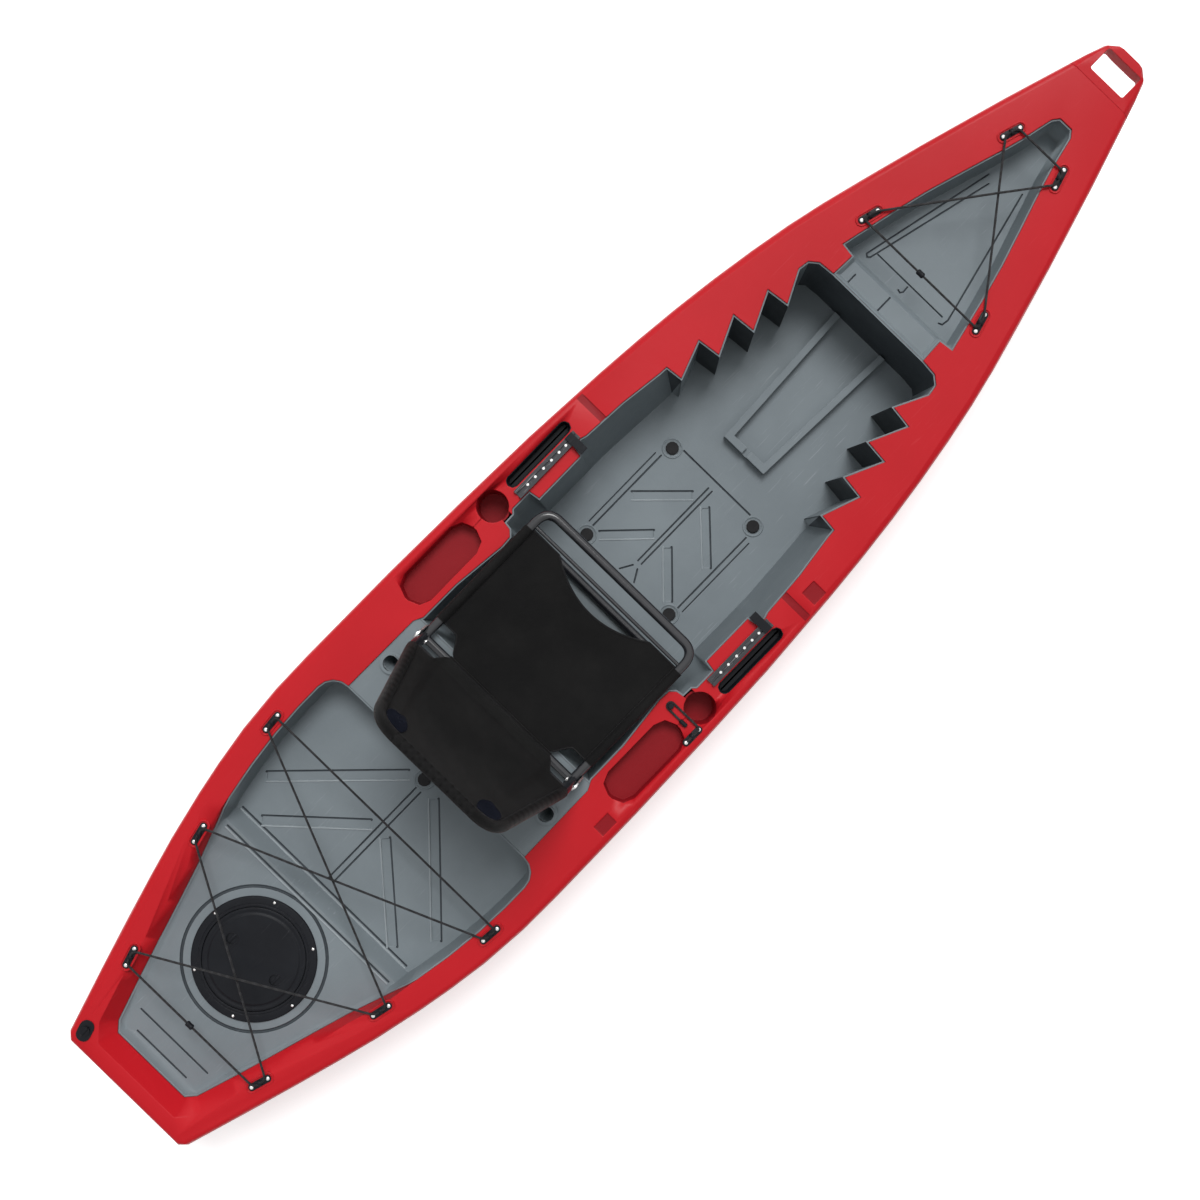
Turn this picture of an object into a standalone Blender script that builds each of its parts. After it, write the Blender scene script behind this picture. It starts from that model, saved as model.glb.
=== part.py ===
# Fishing kayak with a framed seat, built as separate pieces.
# Metres. +X points to the bow, +Y to port and +Z up. The keel's flat stands on z = 0.
import math

import bmesh
import bpy
from mathutils import Matrix, Vector

# Driving sizes of the hull
hull_length = 3.66
hull_beam = 0.893
gunwale_height = 0.300
bow_lift = 0.090
stern_lift = 0.012
hull_wall = 0.006
deck_wall = 0.005
tub_wall = 0.004
gap = 0.0003
rim_radius = 0.018
rim_skirt = 0.035
grey_step = 0.004
draft = 0.008

# Floors of the moulded wells
cockpit_floor = 0.090
stern_platform_drop = 0.058
stern_floor_drop = 0.100
bridge_drop = 0.018
bow_floor_drop = 0.078
stern_band_drop = 0.047

# Fore and aft places of the wells, and of what stands between them
stern_well_front = -0.680
cockpit_back = -0.430
cockpit_front = 0.940
bow_well_back = 1.008
nose_back = 1.720
nose_plate = 0.040
platform_front = -1.160
platform_foot = -1.128

# Round hatch
hatch_x = -1.370
hatch_radius = 0.165
hatch_flange = 0.024
hatch_shelf = 0.016
hatch_depth = 0.014
hatch_neck = 0.030
gasket_height = 0.005
hatch_sides = 40

# Trays, cup holders and track recesses in the gunwale
tray_back = -0.417
tray_front = -0.165
tray_inner = 0.316
tray_outer = 0.412
tray_corner = 0.042
tray_depth = 0.040
cup_x = -0.093
cup_y = 0.371
cup_radius = 0.0425
cup_depth = 0.085
recess_back = -0.028
recess_front = 0.197
recess_inner = 0.362
recess_outer = 0.397
recess_depth = 0.035
pocket_draft = 0.004

# Gear track and its clamp
track_back = -0.028
track_front = 0.190
track_y = 0.345
track_width = 0.026
track_height = 0.010
clamp_x = 0.1715
clamp_length = 0.023
clamp_reach = 0.046

# Scuppers
scupper_bore = 0.0150
scupper_wall = 0.005
plug_cap = 0.0180
cockpit_scuppers = ((0.3575, 0.152), (0.3575, -0.152), (0.029, 0.155), (0.029, -0.155))
stern_scupper = (-0.733, 0.008)

# Rod holders
rod_x = -0.562
rod_y = 0.277
rod_bore = 0.0205
rod_wall = 0.003
rod_depth = 0.200
rod_flange = 0.030
rod_lean = math.radians(20)

# Pad eyes and bungee cord
eye_length = 0.064
eye_width = 0.019
eye_base = 0.003
cord_radius = 0.003
cord_lift = eye_base + cord_radius + 0.0008
stern_eyes = ((-1.565, 0.231), (-1.218, 0.325), (-0.884, 0.390))
bow_eyes = ((1.106, 0.196), (1.497, 0.084))
keeper_eye = (-0.158, -0.407)
keeper_button = (-0.141, -0.313)

# Seat
seat_height = 0.325
seat_half_width = 0.262
seat_front = 0.000
seat_back = -0.470
seat_tube = 0.0125
seat_rod = 0.005
seat_rod_x = -0.053
rear_bar_x = -0.452
hinge_x = -0.455
hinge_height = 0.355
back_length = 0.445
back_top_half = 0.184
back_lean = math.radians(21)
pin_radius = 0.004
bracket_wall = 0.004
mesh_wall = 0.0025
front_leg_x = -0.075
rear_leg_x = -0.375
leg_foot_half = 0.222

# The reference hull whose plan the outline points below were taken from
plan_length = 3.66
plan_beam = 0.893

rim_stations = (1.640, 1.550, 1.430, 1.330, 1.240, 1.160, 1.050, 0.950, 0.840, 0.720, 0.600, 0.480,
                0.350, 0.100, -0.150, -0.400, -0.550, -0.700, -0.820, -0.950, -1.060, -1.150, -1.280,
                -1.390, -1.500, -1.630, -1.720)

beam_points = ((-1.83, 0.206), (-1.50, 0.308), (-1.20, 0.389), (-0.90, 0.4395), (-0.60, 0.4465),
               (-0.20, 0.4405), (0.20, 0.4245), (0.60, 0.389), (0.95, 0.330), (1.25, 0.2495),
               (1.55, 0.158), (1.83, 0.064))

red = (0.48, 0.011, 0.018)
grey = (0.185, 0.205, 0.225)
black = (0.012, 0.012, 0.014)
fabric_black = (0.016, 0.017, 0.019)
foam_white = (0.75, 0.76, 0.76)
steel = (0.55, 0.55, 0.56)


def clear_scene():
    for item in list(bpy.data.objects):
        bpy.data.objects.remove(item, do_unlink=True)


def new_collection(name):
    found = bpy.data.collections.new(name)
    bpy.context.scene.collection.children.link(found)
    return found


clear_scene()
parts = new_collection("fishing_kayak")
cutters = new_collection("cutters")


def new_material(name, colour, roughness, metallic=0.0):
    made = bpy.data.materials.new(name)
    made.use_nodes = True
    shader = made.node_tree.nodes["Principled BSDF"]
    shader.inputs["Base Color"].default_value = (*colour, 1.0)
    shader.inputs["Roughness"].default_value = roughness
    shader.inputs["Metallic"].default_value = metallic
    return made


def place(made, name, material, collection=None, smooth_angle=30):
    made.name = name
    for old in list(made.users_collection):
        old.objects.unlink(made)
    (collection or parts).objects.link(made)
    if material is not None:
        made.data.materials.clear()
        made.data.materials.append(new_material(name + "_material", *material))
    if made.type == "MESH" and smooth_angle:
        made.data.shade_smooth()
        made.data.set_sharp_from_angle(angle=math.radians(smooth_angle))
    return made


def from_bmesh(bm, name, material, collection=None, smooth_angle=30):
    bmesh.ops.recalc_face_normals(bm, faces=bm.faces)
    mesh = bpy.data.meshes.new(name)
    bm.to_mesh(mesh)
    bm.free()
    return place(bpy.data.objects.new(name, mesh), name, material, collection, smooth_angle)


def as_guide(made):
    made.hide_render = True
    made.display_type = "WIRE"
    if made.name not in cutters.objects:
        for old in list(made.users_collection):
            old.objects.unlink(made)
        cutters.objects.link(made)
    return made


def boolean(made, other, operation):
    as_guide(other)
    modifier = made.modifiers.new(operation.lower(), "BOOLEAN")
    modifier.operation = operation
    modifier.solver = "EXACT"
    modifier.object = other
    return made


def cut(made, cutter):
    return boolean(made, cutter, "DIFFERENCE")


def join(made, other):
    return boolean(made, other, "UNION")


def mesh_from_curve(curve_object):
    bpy.context.view_layer.update()
    graph = bpy.context.evaluated_depsgraph_get()
    mesh = bpy.data.meshes.new_from_object(curve_object.evaluated_get(graph))
    bm = bmesh.new()
    bm.from_mesh(mesh)
    bmesh.ops.remove_doubles(bm, verts=bm.verts, dist=0.00001)
    bmesh.ops.recalc_face_normals(bm, faces=bm.faces)
    bm.to_mesh(mesh)
    bm.free()
    made = bpy.data.objects.new(curve_object.name + "_mesh", mesh)
    made.matrix_world = curve_object.matrix_world
    bpy.data.objects.remove(curve_object, do_unlink=True)
    return made


def box(name, low, high, material=None, collection=None, bevel=0.0):
    bm = bmesh.new()
    bmesh.ops.create_cube(bm, size=1.0)
    size = [high[i] - low[i] for i in range(3)]
    middle = [(high[i] + low[i]) / 2 for i in range(3)]
    bmesh.ops.scale(bm, vec=size, verts=bm.verts)
    bmesh.ops.translate(bm, vec=middle, verts=bm.verts)
    if bevel:
        upright = [e for e in bm.edges if abs(e.verts[0].co.z - e.verts[1].co.z) > 0.5 * size[2]]
        bmesh.ops.bevel(bm, geom=upright, offset=bevel, segments=3, affect="EDGES", profile=0.5)
    return from_bmesh(bm, name, material, collection or (parts if material else cutters))


def cylinder(name, radius, low, high, segments=24, material=None, matrix=None):
    bm = bmesh.new()
    bmesh.ops.create_cone(bm, cap_ends=True, segments=segments, radius1=radius, radius2=radius,
                          depth=high - low)
    bmesh.ops.translate(bm, vec=(0, 0, (high + low) / 2), verts=bm.verts)
    made = from_bmesh(bm, name, material, parts if material else cutters)
    if matrix is not None:
        made.matrix_world = matrix
    return made


def turned(name, profile, material, steps=24, closed=True, place_at=(0, 0, 0), turn=(0, 0, 0)):
    mesh = bpy.data.meshes.new(name)
    count = len(profile)
    edges = [(i, i + 1) for i in range(count - 1)]
    if closed:
        edges.append((count - 1, 0))
    mesh.from_pydata([(r, 0, z) for r, z in profile], edges, [])
    made = place(bpy.data.objects.new(name, mesh), name, material, parts if material else cutters, 0)
    screw = made.modifiers.new("turn", "SCREW")
    screw.steps = steps
    screw.render_steps = steps
    screw.use_merge_vertices = True
    screw.merge_threshold = 0.00001
    screw.use_smooth_shade = True
    made.location = place_at
    made.rotation_euler = turn
    return made


def smooth_step(value):
    value = min(max(value, 0.0), 1.0)
    return value * value * (3 - 2 * value)


# Extra length goes into the two wells, and extra beam widens the plan evenly.
def plan_x(x):
    extra = (hull_length - plan_length) / 2
    if x > cockpit_front:
        return x + extra * (x - cockpit_front) / (plan_length / 2 - cockpit_front)
    if x < stern_well_front:
        return x - extra * (x - stern_well_front) / (-plan_length / 2 - stern_well_front)
    return x


def plan_y(y):
    return y * hull_beam / plan_beam


def plan(points):
    return [(plan_x(x), plan_y(y)) for x, y in points]


stern_x = plan_x(-plan_length / 2)
bow_x = plan_x(plan_length / 2)


# Half breadth of the gunwale, a smooth curve through the measured points
def half_beam(x):
    points = plan(beam_points)
    if x <= points[0][0]:
        return points[0][1]
    if x >= points[-1][0]:
        return points[-1][1]
    index = max(i for i in range(len(points) - 1) if points[i][0] <= x)

    def slope(i):
        low = max(i - 1, 0)
        high = min(i + 1, len(points) - 1)
        return (points[high][1] - points[low][1]) / (points[high][0] - points[low][0])

    (x0, y0), (x1, y1) = points[index], points[index + 1]
    run = x1 - x0
    t = (x - x0) / run
    return ((2 * t ** 3 - 3 * t ** 2 + 1) * y0 + (t ** 3 - 2 * t ** 2 + t) * run * slope(index)
            + (3 * t ** 2 - 2 * t ** 3) * y1 + (t ** 3 - t ** 2) * run * slope(index + 1))


def side_y(x, inset):
    step = 0.01
    slope = (half_beam(x + step) - half_beam(x - step)) / (2 * step)
    return half_beam(x) - inset * math.sqrt(1 + slope * slope)


# Top of the gunwale along the boat: flat amidships, lifting to bow and stern
flat_front = 0.350
flat_back = -0.700


def sheer(x):
    if x > flat_front:
        return gunwale_height + bow_lift * ((x - flat_front) / (bow_x - flat_front)) ** 1.7
    if x < flat_back:
        return gunwale_height + stern_lift * ((flat_back - x) / (flat_back - stern_x)) ** 2
    return gunwale_height


rocker_front = 0.900
rocker_back = -1.200
stem_rise = 0.235
stern_rise = 0.045


def keel(x):
    if x > rocker_front:
        return stem_rise * ((x - rocker_front) / (plan_x(nose_back) - rocker_front)) ** 2.2
    if x < rocker_back:
        return stern_rise * ((rocker_back - x) / (rocker_back - stern_x)) ** 2
    return 0.0


def mirrored(port):
    return list(reversed(port)) + [(x, -y) for x, y in port]


def stations():
    return [plan_x(x) for x in rim_stations]


# The rim's plan from stern to bow, inset from the hull's side
transom_corner = 0.018


def rim_port(inset):
    line = [(stern_x + inset, side_y(stern_x + transom_corner, inset) - transom_corner),
            (stern_x + transom_corner + 0.3 * inset, side_y(stern_x + transom_corner, inset))]
    for x in reversed(stations()):
        line.append((x, side_y(x, inset)))
    line.append((plan_x(1.720), side_y(plan_x(1.720), inset)))
    line.append((plan_x(1.812) - 0.3 * inset, plan_y(0.068) - inset))
    line.append((bow_x - inset, plan_y(0.045) - 0.4 * inset))
    return line


def offset_loop(points, distances):
    count = len(points)
    moved = []
    for i in range(count):
        before = Vector(points[i]) - Vector(points[i - 1])
        after = Vector(points[(i + 1) % count]) - Vector(points[i])
        before.normalize()
        after.normalize()
        normal_a = Vector((-before.y, before.x))
        normal_b = Vector((-after.y, after.x))
        mitre = (normal_a + normal_b) / (1 + normal_a.dot(normal_b))
        distance = distances[i] if isinstance(distances, list) else distances
        moved.append((points[i][0] + mitre.x * distance, points[i][1] + mitre.y * distance))
    return moved


def arc(centre, radius, start, end, count):
    turned_points = []
    for i in range(count + 1):
        angle = math.radians(start + (end - start) * i / count)
        turned_points.append((centre[0] + radius * math.cos(angle), centre[1] + radius * math.sin(angle)))
    return turned_points


# Inner edge of the red gunwale on the port side, from the stern to the bow
def stern_edge():
    corner = 0.056
    curve = [(-1.747, 0.120), (-1.722, 0.142), (-1.600, 0.182), (-1.500, 0.213), (-1.400, 0.243),
             (-1.300, 0.274), (-1.200, 0.309), (-1.100, 0.336), (-1.000, 0.354), (-0.900, 0.366),
             (-0.810, 0.371)]
    centre = (stern_well_front - corner, 0.315)
    return plan(curve + arc(centre, corner, 90, 0, 4))


def seat_edge():
    return plan([(stern_well_front, 0.315), (-0.445, 0.3125), (cockpit_back, 0.305)])


def tooth(tip_x, tip_y, root_x, root_y):
    return [(tip_x, tip_y), (root_x, root_y)]


def cockpit_edge():
    curve = [(cockpit_back, 0.305), (-0.420, 0.300), (-0.300, 0.299), (-0.150, 0.283), (-0.118, 0.285),
             (-0.105, 0.299), (-0.102, 0.320), (-0.072, 0.321), (-0.062, 0.331), (0.001, 0.331),
             (0.006, 0.300), (0.156, 0.300), (0.161, 0.331), (0.190, 0.331), (0.205, 0.326),
             (0.330, 0.318), (0.450, 0.302), (0.475, 0.300)]
    curve += tooth(0.480, 0.253, 0.582, 0.290)
    curve += tooth(0.590, 0.226, 0.690, 0.272)
    curve += tooth(0.696, 0.206, 0.796, 0.253)
    curve += tooth(0.804, 0.191, 0.888, 0.233)
    curve += [(0.918, 0.228), (0.936, 0.205), (cockpit_front, 0.160)]
    return plan(curve)


def bow_edge():
    return plan([(cockpit_front, 0.160), (1.003, 0.157), (bow_well_back, 0.196), (1.075, 0.180),
                 (1.150, 0.162), (1.250, 0.135), (1.350, 0.103), (1.450, 0.070), (1.500, 0.055),
                 (1.588, 0.034), (1.605, 0.020)])


def opening_port():
    return stern_edge() + seat_edge()[1:] + cockpit_edge()[1:] + bow_edge()[1:]


# How far the red edge drops to the grey at the stern, and how wide its slope is
band_end = -1.100


def stern_drop(x):
    return stern_band_drop * smooth_step((plan_x(band_end) - x) / 0.12)


def band_width(x):
    return 0.010 + 0.024 * smooth_step((plan_x(-1.200) - x) / 0.50)


def add_loop(bm, points, height):
    return [bm.verts.new((x, y, height(x) if callable(height) else height)) for x, y in points]


def bridge(bm, low, high):
    count = len(low)
    for i in range(count):
        j = (i + 1) % count
        bm.faces.new((low[i], low[j], high[j], high[i]))


def fill(bm, loops):
    edges = []
    for loop in loops:
        for i in range(len(loop)):
            edges.append(bm.edges.get((loop[i - 1], loop[i])) or bm.edges.new((loop[i - 1], loop[i])))
    bmesh.ops.triangle_fill(bm, use_beauty=True, use_dissolve=False, edges=edges)


def slice_at(bm, places):
    for x in places:
        bmesh.ops.bisect_plane(bm, geom=bm.verts[:] + bm.edges[:] + bm.faces[:], dist=0.000001,
                               plane_co=(x, 0, 0), plane_no=(1, 0, 0))


def curved_stations():
    return [x for x in stations() if x > flat_front or x < flat_back]


def rounded_rectangle(low, high, radius, count=3):
    (x0, y0), (x1, y1) = low, high
    return (arc((x1 - radius, y1 - radius), radius, 0, 90, count)
            + arc((x0 + radius, y1 - radius), radius, 90, 180, count)
            + arc((x0 + radius, y0 + radius), radius, 180, 270, count)
            + arc((x1 - radius, y0 + radius), radius, 270, 360, count))


def flipped(loop):
    return [(x, -y) for x, y in reversed(loop)]


def pockets():
    shift = plan_y(cup_y) - cup_y
    tray = rounded_rectangle((tray_back, tray_inner + shift), (tray_front, tray_outer + shift),
                             tray_corner, 2)
    cup = arc((cup_x, cup_y + shift), cup_radius, 0, 345, 23)
    recess = rounded_rectangle((recess_back, recess_inner + shift), (recess_front, recess_outer + shift),
                               0.016, 2)
    port = [(tray, tray_depth), (cup, cup_depth), (recess, recess_depth)]
    return port + [(flipped(loop), depth) for loop, depth in port]


# The red deck ring: a thin shell with a rolled outer edge, pockets and one long opening
def make_gunwale_deck():
    bm = bmesh.new()
    bend = rim_radius * (1 - math.cos(math.radians(45)))
    inner_bend = bend + deck_wall * math.cos(math.radians(45))
    outer = [add_loop(bm, mirrored(rim_port(inset)), z) for inset, z in (
        (0.0, -rim_skirt), (0.0, -rim_radius), (bend, -bend), (rim_radius, 0.0))]
    inner = [add_loop(bm, mirrored(rim_port(inset)), z) for inset, z in (
        (deck_wall, -rim_skirt), (deck_wall, -rim_radius), (inner_bend, -inner_bend),
        (rim_radius, -deck_wall))]
    for rings in (outer, inner):
        for low, high in zip(rings, rings[1:]):
            bridge(bm, low, high)
    bridge(bm, outer[0], inner[0])

    edge_plan = mirrored(opening_port())
    sloped = [x < plan_x(-1.150) for x, y in edge_plan]
    widths = [-band_width(x) if slope else 0.0 for (x, y), slope in zip(edge_plan, sloped)]
    crest_plan = offset_loop(edge_plan, widths)
    surfaces = []
    for side in (0.0, -deck_wall):
        edge = [bm.verts.new((x, y, side - (stern_drop(x) if slope else 0.0)))
                for (x, y), slope in zip(edge_plan, sloped)]
        crest = [bm.verts.new((x, y, side)) if slope else edge[i]
                 for i, ((x, y), slope) in enumerate(zip(crest_plan, sloped))]
        for i in range(len(edge)):
            j = (i + 1) % len(edge)
            corners = [edge[i], edge[j], crest[j], crest[i]]
            corners = [v for k, v in enumerate(corners) if v not in corners[:k]]
            if len(corners) > 2:
                bm.faces.new(corners)
        surfaces.append((edge, crest))
    bridge(bm, surfaces[0][0], surfaces[1][0])

    top_loops = [outer[-1], surfaces[0][1]]
    under_loops = [inner[-1], surfaces[1][1]]
    for loop, depth in pockets():
        top = add_loop(bm, loop, 0.0)
        floor = add_loop(bm, offset_loop(loop, pocket_draft), -depth)
        bridge(bm, top, floor)
        bm.faces.new(floor)
        under = add_loop(bm, offset_loop(loop, -deck_wall), -deck_wall)
        under_floor = add_loop(bm, offset_loop(loop, pocket_draft - deck_wall), -depth - deck_wall)
        bridge(bm, under, under_floor)
        bm.faces.new(under_floor)
        top_loops.append(top)
        under_loops.append(under)
    fill(bm, top_loops)
    fill(bm, under_loops)
    slice_at(bm, curved_stations())
    for vertex in bm.verts:
        vertex.co.z += sheer(vertex.co.x)
    deck = from_bmesh(bm, "gunwale_deck", (red, 0.32))
    deck = cut(deck, box("nose_trim", (plan_x(nose_back), -1, 0), (bow_x + 0.1, 1, 1)))
    top = gunwale_height
    for side in (1, -1):
        inner_y = plan_y(cup_y) - cup_radius
        low_y, high_y = sorted((side * (inner_y - 0.020), side * (inner_y + 0.012)))
        cut(deck, box("cup_notch", (cup_x - 0.008, low_y, top - 0.012), (cup_x + 0.020, high_y, top + 0.05)))
        low_y, high_y = sorted((side * (plan_y(0.365) - 0.005), side * (plan_y(0.365) + 0.005)))
        cut(deck, box("line_slot", (tray_front - 0.006, low_y, top - 0.0035),
                      (cup_x - cup_radius + 0.006, high_y, top + 0.05)))
        low_y, high_y = sorted((side * 0.20, side * 0.60))
        cut(deck, box("paddle_groove", (0.255, low_y, top - 0.003), (0.275, high_y, top + 0.05)))
    x, y = drain_place()
    cut(deck, cylinder("drain_hole", drain_sleeve + gap, 0, 0.6, 16, None, Matrix.Translation((x, y, 0))))
    return deck


# A grey moulding: walls from a rim down to a floor, all of one thickness
def make_well(name, port, floor_port, rim, floor, extra_slices):
    bm = bmesh.new()
    edge = offset_loop(mirrored(port), gap)
    inner_edge = offset_loop(mirrored(port), gap + tub_wall)
    if floor_port is None:
        inner_floor = offset_loop(mirrored(port), gap + tub_wall + 0.010)
    else:
        inner_floor = mirrored(floor_port)
    outer_floor = offset_loop(inner_floor, -tub_wall)
    outlines = (outer_floor, edge, inner_edge, inner_floor)
    levels = [add_loop(bm, points, level) for level, points in enumerate(outlines)]
    for low, high in zip(levels, levels[1:]):
        bridge(bm, low, high)
    bm.faces.new(levels[0])
    bm.faces.new(levels[-1])
    bm.normal_update()
    bmesh.ops.triangulate(bm, faces=bm.faces)
    slice_at(bm, extra_slices)
    heights = (lambda x: floor(x) - tub_wall, rim, rim, floor)
    for vertex in bm.verts:
        level = vertex.co.z
        below = heights[int(math.floor(level + 0.000001))](vertex.co.x)
        above = heights[int(math.ceil(level - 0.000001))](vertex.co.x)
        vertex.co.z = below + (above - below) * (level - math.floor(level + 0.000001))
    bmesh.ops.dissolve_degenerate(bm, dist=0.00001, edges=bm.edges)
    return from_bmesh(bm, name, (grey, 0.45))


def stern_floor(x):
    forward = smooth_step((x - plan_x(platform_front)) / (plan_x(platform_foot) - plan_x(platform_front)))
    return gunwale_height - stern_platform_drop + forward * (stern_platform_drop - stern_floor_drop)


def make_stern_well():
    slices = [x for x in curved_stations() if x < flat_back] + [plan_x(platform_front), plan_x(platform_foot)]
    well = make_well("stern_well", stern_edge(), None, lambda x: sheer(x) - stern_drop(x) - grey_step,
                     stern_floor, slices)
    cut(well, cylinder("hatch_hole", hatch_neck_radius() + gap, 0.1, 0.5, hatch_sides, None,
                       Matrix.Translation((plan_x(hatch_x), 0, 0))))
    drill_scupper(well, stern_scupper)
    return well


bulkhead_run = 0.034


def bow_floor(x):
    down = smooth_step((x - plan_x(bow_well_back) + 0.006) / bulkhead_run)
    deep = bow_floor_drop + 0.014 * (x - plan_x(bow_well_back)) / 0.6
    return sheer(x) - bridge_drop - down * (deep - bridge_drop)


def make_bow_well():
    slices = [x for x in curved_stations() if x > cockpit_front]
    slices += [plan_x(bow_well_back) - 0.006 + part * bulkhead_run for part in (0, 0.33, 0.67, 1)]
    return make_well("bow_well", bow_edge(), None, lambda x: sheer(x) - grey_step, bow_floor, slices)


# The foot of the cockpit wall runs straight past the small steps of its rim
foot_half = 0.272
foot_taper = 0.014
last_straight = 0.460
first_tip = 0.478


def tub_foot():
    top = mirrored(cockpit_edge())
    moved = offset_loop(top, gap + tub_wall + draft)
    port = list(reversed(moved[:len(moved) // 2]))
    foot = []
    for (x, y), (moved_x, moved_y) in zip(cockpit_edge(), port):
        straight = plan_y(foot_half - foot_taper * smooth_step((x - 0.20) / 0.26))
        if x < last_straight:
            forward = max(x, cockpit_back + 0.020 + (x - cockpit_back) * 0.5)
            foot.append((forward - 0.020 * smooth_step((x - 0.30) / 0.15), straight))
        elif x < first_tip:
            foot.append((moved_x, straight))
        else:
            foot.append((moved_x, moved_y))
    return foot


def make_cockpit_tub():
    tub = make_well("cockpit_tub", cockpit_edge(), tub_foot(), lambda x: sheer(x) - grey_step,
                    lambda x: cockpit_floor, [x for x in curved_stations() if x < cockpit_front and x > 0])
    for spot in cockpit_scuppers:
        drill_scupper(tub, spot)
    return tub


def drill_scupper(made, spot):
    cut(made, cylinder("scupper_hole", scupper_bore + scupper_wall + gap, -0.05, 0.5, 12, None,
                       Matrix.Translation((plan_x(spot[0]), spot[1], 0))))


def make_seat_deck():
    bm = bmesh.new()
    plate = offset_loop(mirrored(seat_edge()), gap)
    top = gunwale_height - grey_step
    low = add_loop(bm, plate, top - tub_wall)
    high = add_loop(bm, plate, top)
    bridge(bm, low, high)
    bm.faces.new(low)
    bm.faces.new(high)
    deck = from_bmesh(bm, "seat_deck", (grey, 0.45))
    for side in (1, -1):
        cut(deck, cylinder("rod_hole", rod_bore + rod_wall + gap, -0.1, 0.1, 16, None, rod_matrix(side)))
    return deck


# Hull sections as parts of the half breadth and of the depth, amidships and at the bow
middle_section = ((1, 1), (1, 0.90), (0.99, 0.66), (0.965, 0.42), (0.91, 0.22), (0.82, 0.08), (0.69, 0.015),
                  (0.50, 0.0), (0.0, 0.0))
bow_section = ((1, 1), (1, 0.90), (0.83, 0.66), (0.64, 0.42), (0.46, 0.22), (0.31, 0.08), (0.21, 0.015),
               (0.13, 0.0), (0.0, 0.0))


bow_rail_gap = 0.0011


def make_hull_shell():
    bm = bmesh.new()
    ring = [point for point in rim_port(0.0) if point[0] <= plan_x(nose_back) + 0.00001]
    rows = []
    for x, half in ring:
        rail = sheer(x) - rim_skirt - (bow_rail_gap if x > plan_x(nose_back) - 0.001 else gap)
        base = keel(x)
        sharp = smooth_step((x - 0.5) / (plan_x(nose_back) - 0.5))
        port = []
        for (wide, up), (bow_wide, bow_up) in zip(middle_section, bow_section):
            y = half * (wide + (bow_wide - wide) * sharp)
            port.append((y, base + (rail - base) * (up + (bow_up - up) * sharp)))
        line = port + [(-y, z) for y, z in reversed(port[:-1])]
        rows.append([bm.verts.new((x, y, z)) for y, z in line])
    for near, far in zip(rows, rows[1:]):
        for i in range(len(near) - 1):
            bm.faces.new((near[i], near[i + 1], far[i + 1], far[i]))
    bm.faces.new(rows[0])
    bm.faces.new(list(reversed(rows[-1])))
    hull = from_bmesh(bm, "hull_shell", (red, 0.30))
    shell = hull.modifiers.new("wall", "SOLIDIFY")
    shell.thickness = hull_wall
    shell.offset = -1
    shell.use_even_offset = True
    return cut(hull, extrude_outline("keel_opening", keel_outline(0), -0.1, 2 * hull_wall, None, "Z"))


# Flat panel that closes the hull's bottom and holds the scuppers' lower ends
keel_back = -1.100
keel_front = 0.600
keel_half = 0.185
keel_corner = 0.030


def keel_outline(inset):
    half = plan_y(keel_half) - inset
    return rounded_rectangle((plan_x(keel_back) + inset, -half), (keel_front - inset, half), keel_corner, 2)


def make_keel_panel():
    panel = extrude_outline("hull_keel_panel", keel_outline(gap), 0, hull_wall, (red, 0.30), "Z")
    for spot in cockpit_scuppers + (stern_scupper,):
        drill_scupper(panel, spot)


# Nose that thins to a plate, with the carrying slot through it
def make_bow_handle():
    bm = bmesh.new()
    rows = []
    root = plan_x(nose_back) + gap
    foot = sheer(root) - keel(root)
    for x, half, depth in ((root, side_y(root, 0), foot),
                           (plan_x(1.731), side_y(plan_x(1.731), 0), 0.9 * foot),
                           (plan_x(1.742), side_y(plan_x(1.742), 0), 0.060),
                           (plan_x(1.765), side_y(plan_x(1.765), 0), nose_plate),
                           (plan_x(1.812), plan_y(0.068), nose_plate), (bow_x, plan_y(0.045), nose_plate)):
        top = sheer(x)
        bend = 0.3 * rim_radius
        half_line = [(0.45 * half, top - depth), (half, top - rim_skirt), (half, top - rim_radius),
                     (half - bend, top - bend), (half - rim_radius, top)]
        line = half_line + [(-y, z) for y, z in reversed(half_line)]
        rows.append([bm.verts.new((x, y, z)) for y, z in line])
    for near, far in zip(rows, rows[1:]):
        bridge(bm, near, far)
    bm.faces.new(rows[0])
    bm.faces.new(rows[-1])
    nose = from_bmesh(bm, "bow_handle", (red, 0.32))
    return cut(nose, box("carry_slot", (plan_x(1.742), -plan_y(0.056), 0), (plan_x(1.808), plan_y(0.056), 1),
                         None, None, 0.006))


def scupper_height(spot):
    return cockpit_floor if spot[0] > cockpit_back else stern_floor(plan_x(spot[0]))


def make_scupper(index, spot):
    x = plan_x(spot[0])
    top = scupper_height(spot) - 0.0002
    outer = scupper_bore + scupper_wall
    turned("scupper_tube_%d" % index,
           [(outer, top), (outer, 0.0005), (scupper_bore, 0.0005), (scupper_bore, top)],
           (grey, 0.45), 12, True, (x, spot[1], 0))
    fit = scupper_bore - gap
    seat = scupper_height(spot) + gap
    turned("scupper_plug_%d" % index, [(0, 0.005), (plug_cap - 0.002, 0.005), (plug_cap, 0.003), (plug_cap, 0),
                                       (fit, 0), (fit - 0.0015, -0.022), (0, -0.022)],
           (black, 0.6), 12, False, (x, spot[1], seat))


def hatch_neck_radius():
    return hatch_radius - hatch_flange


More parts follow.
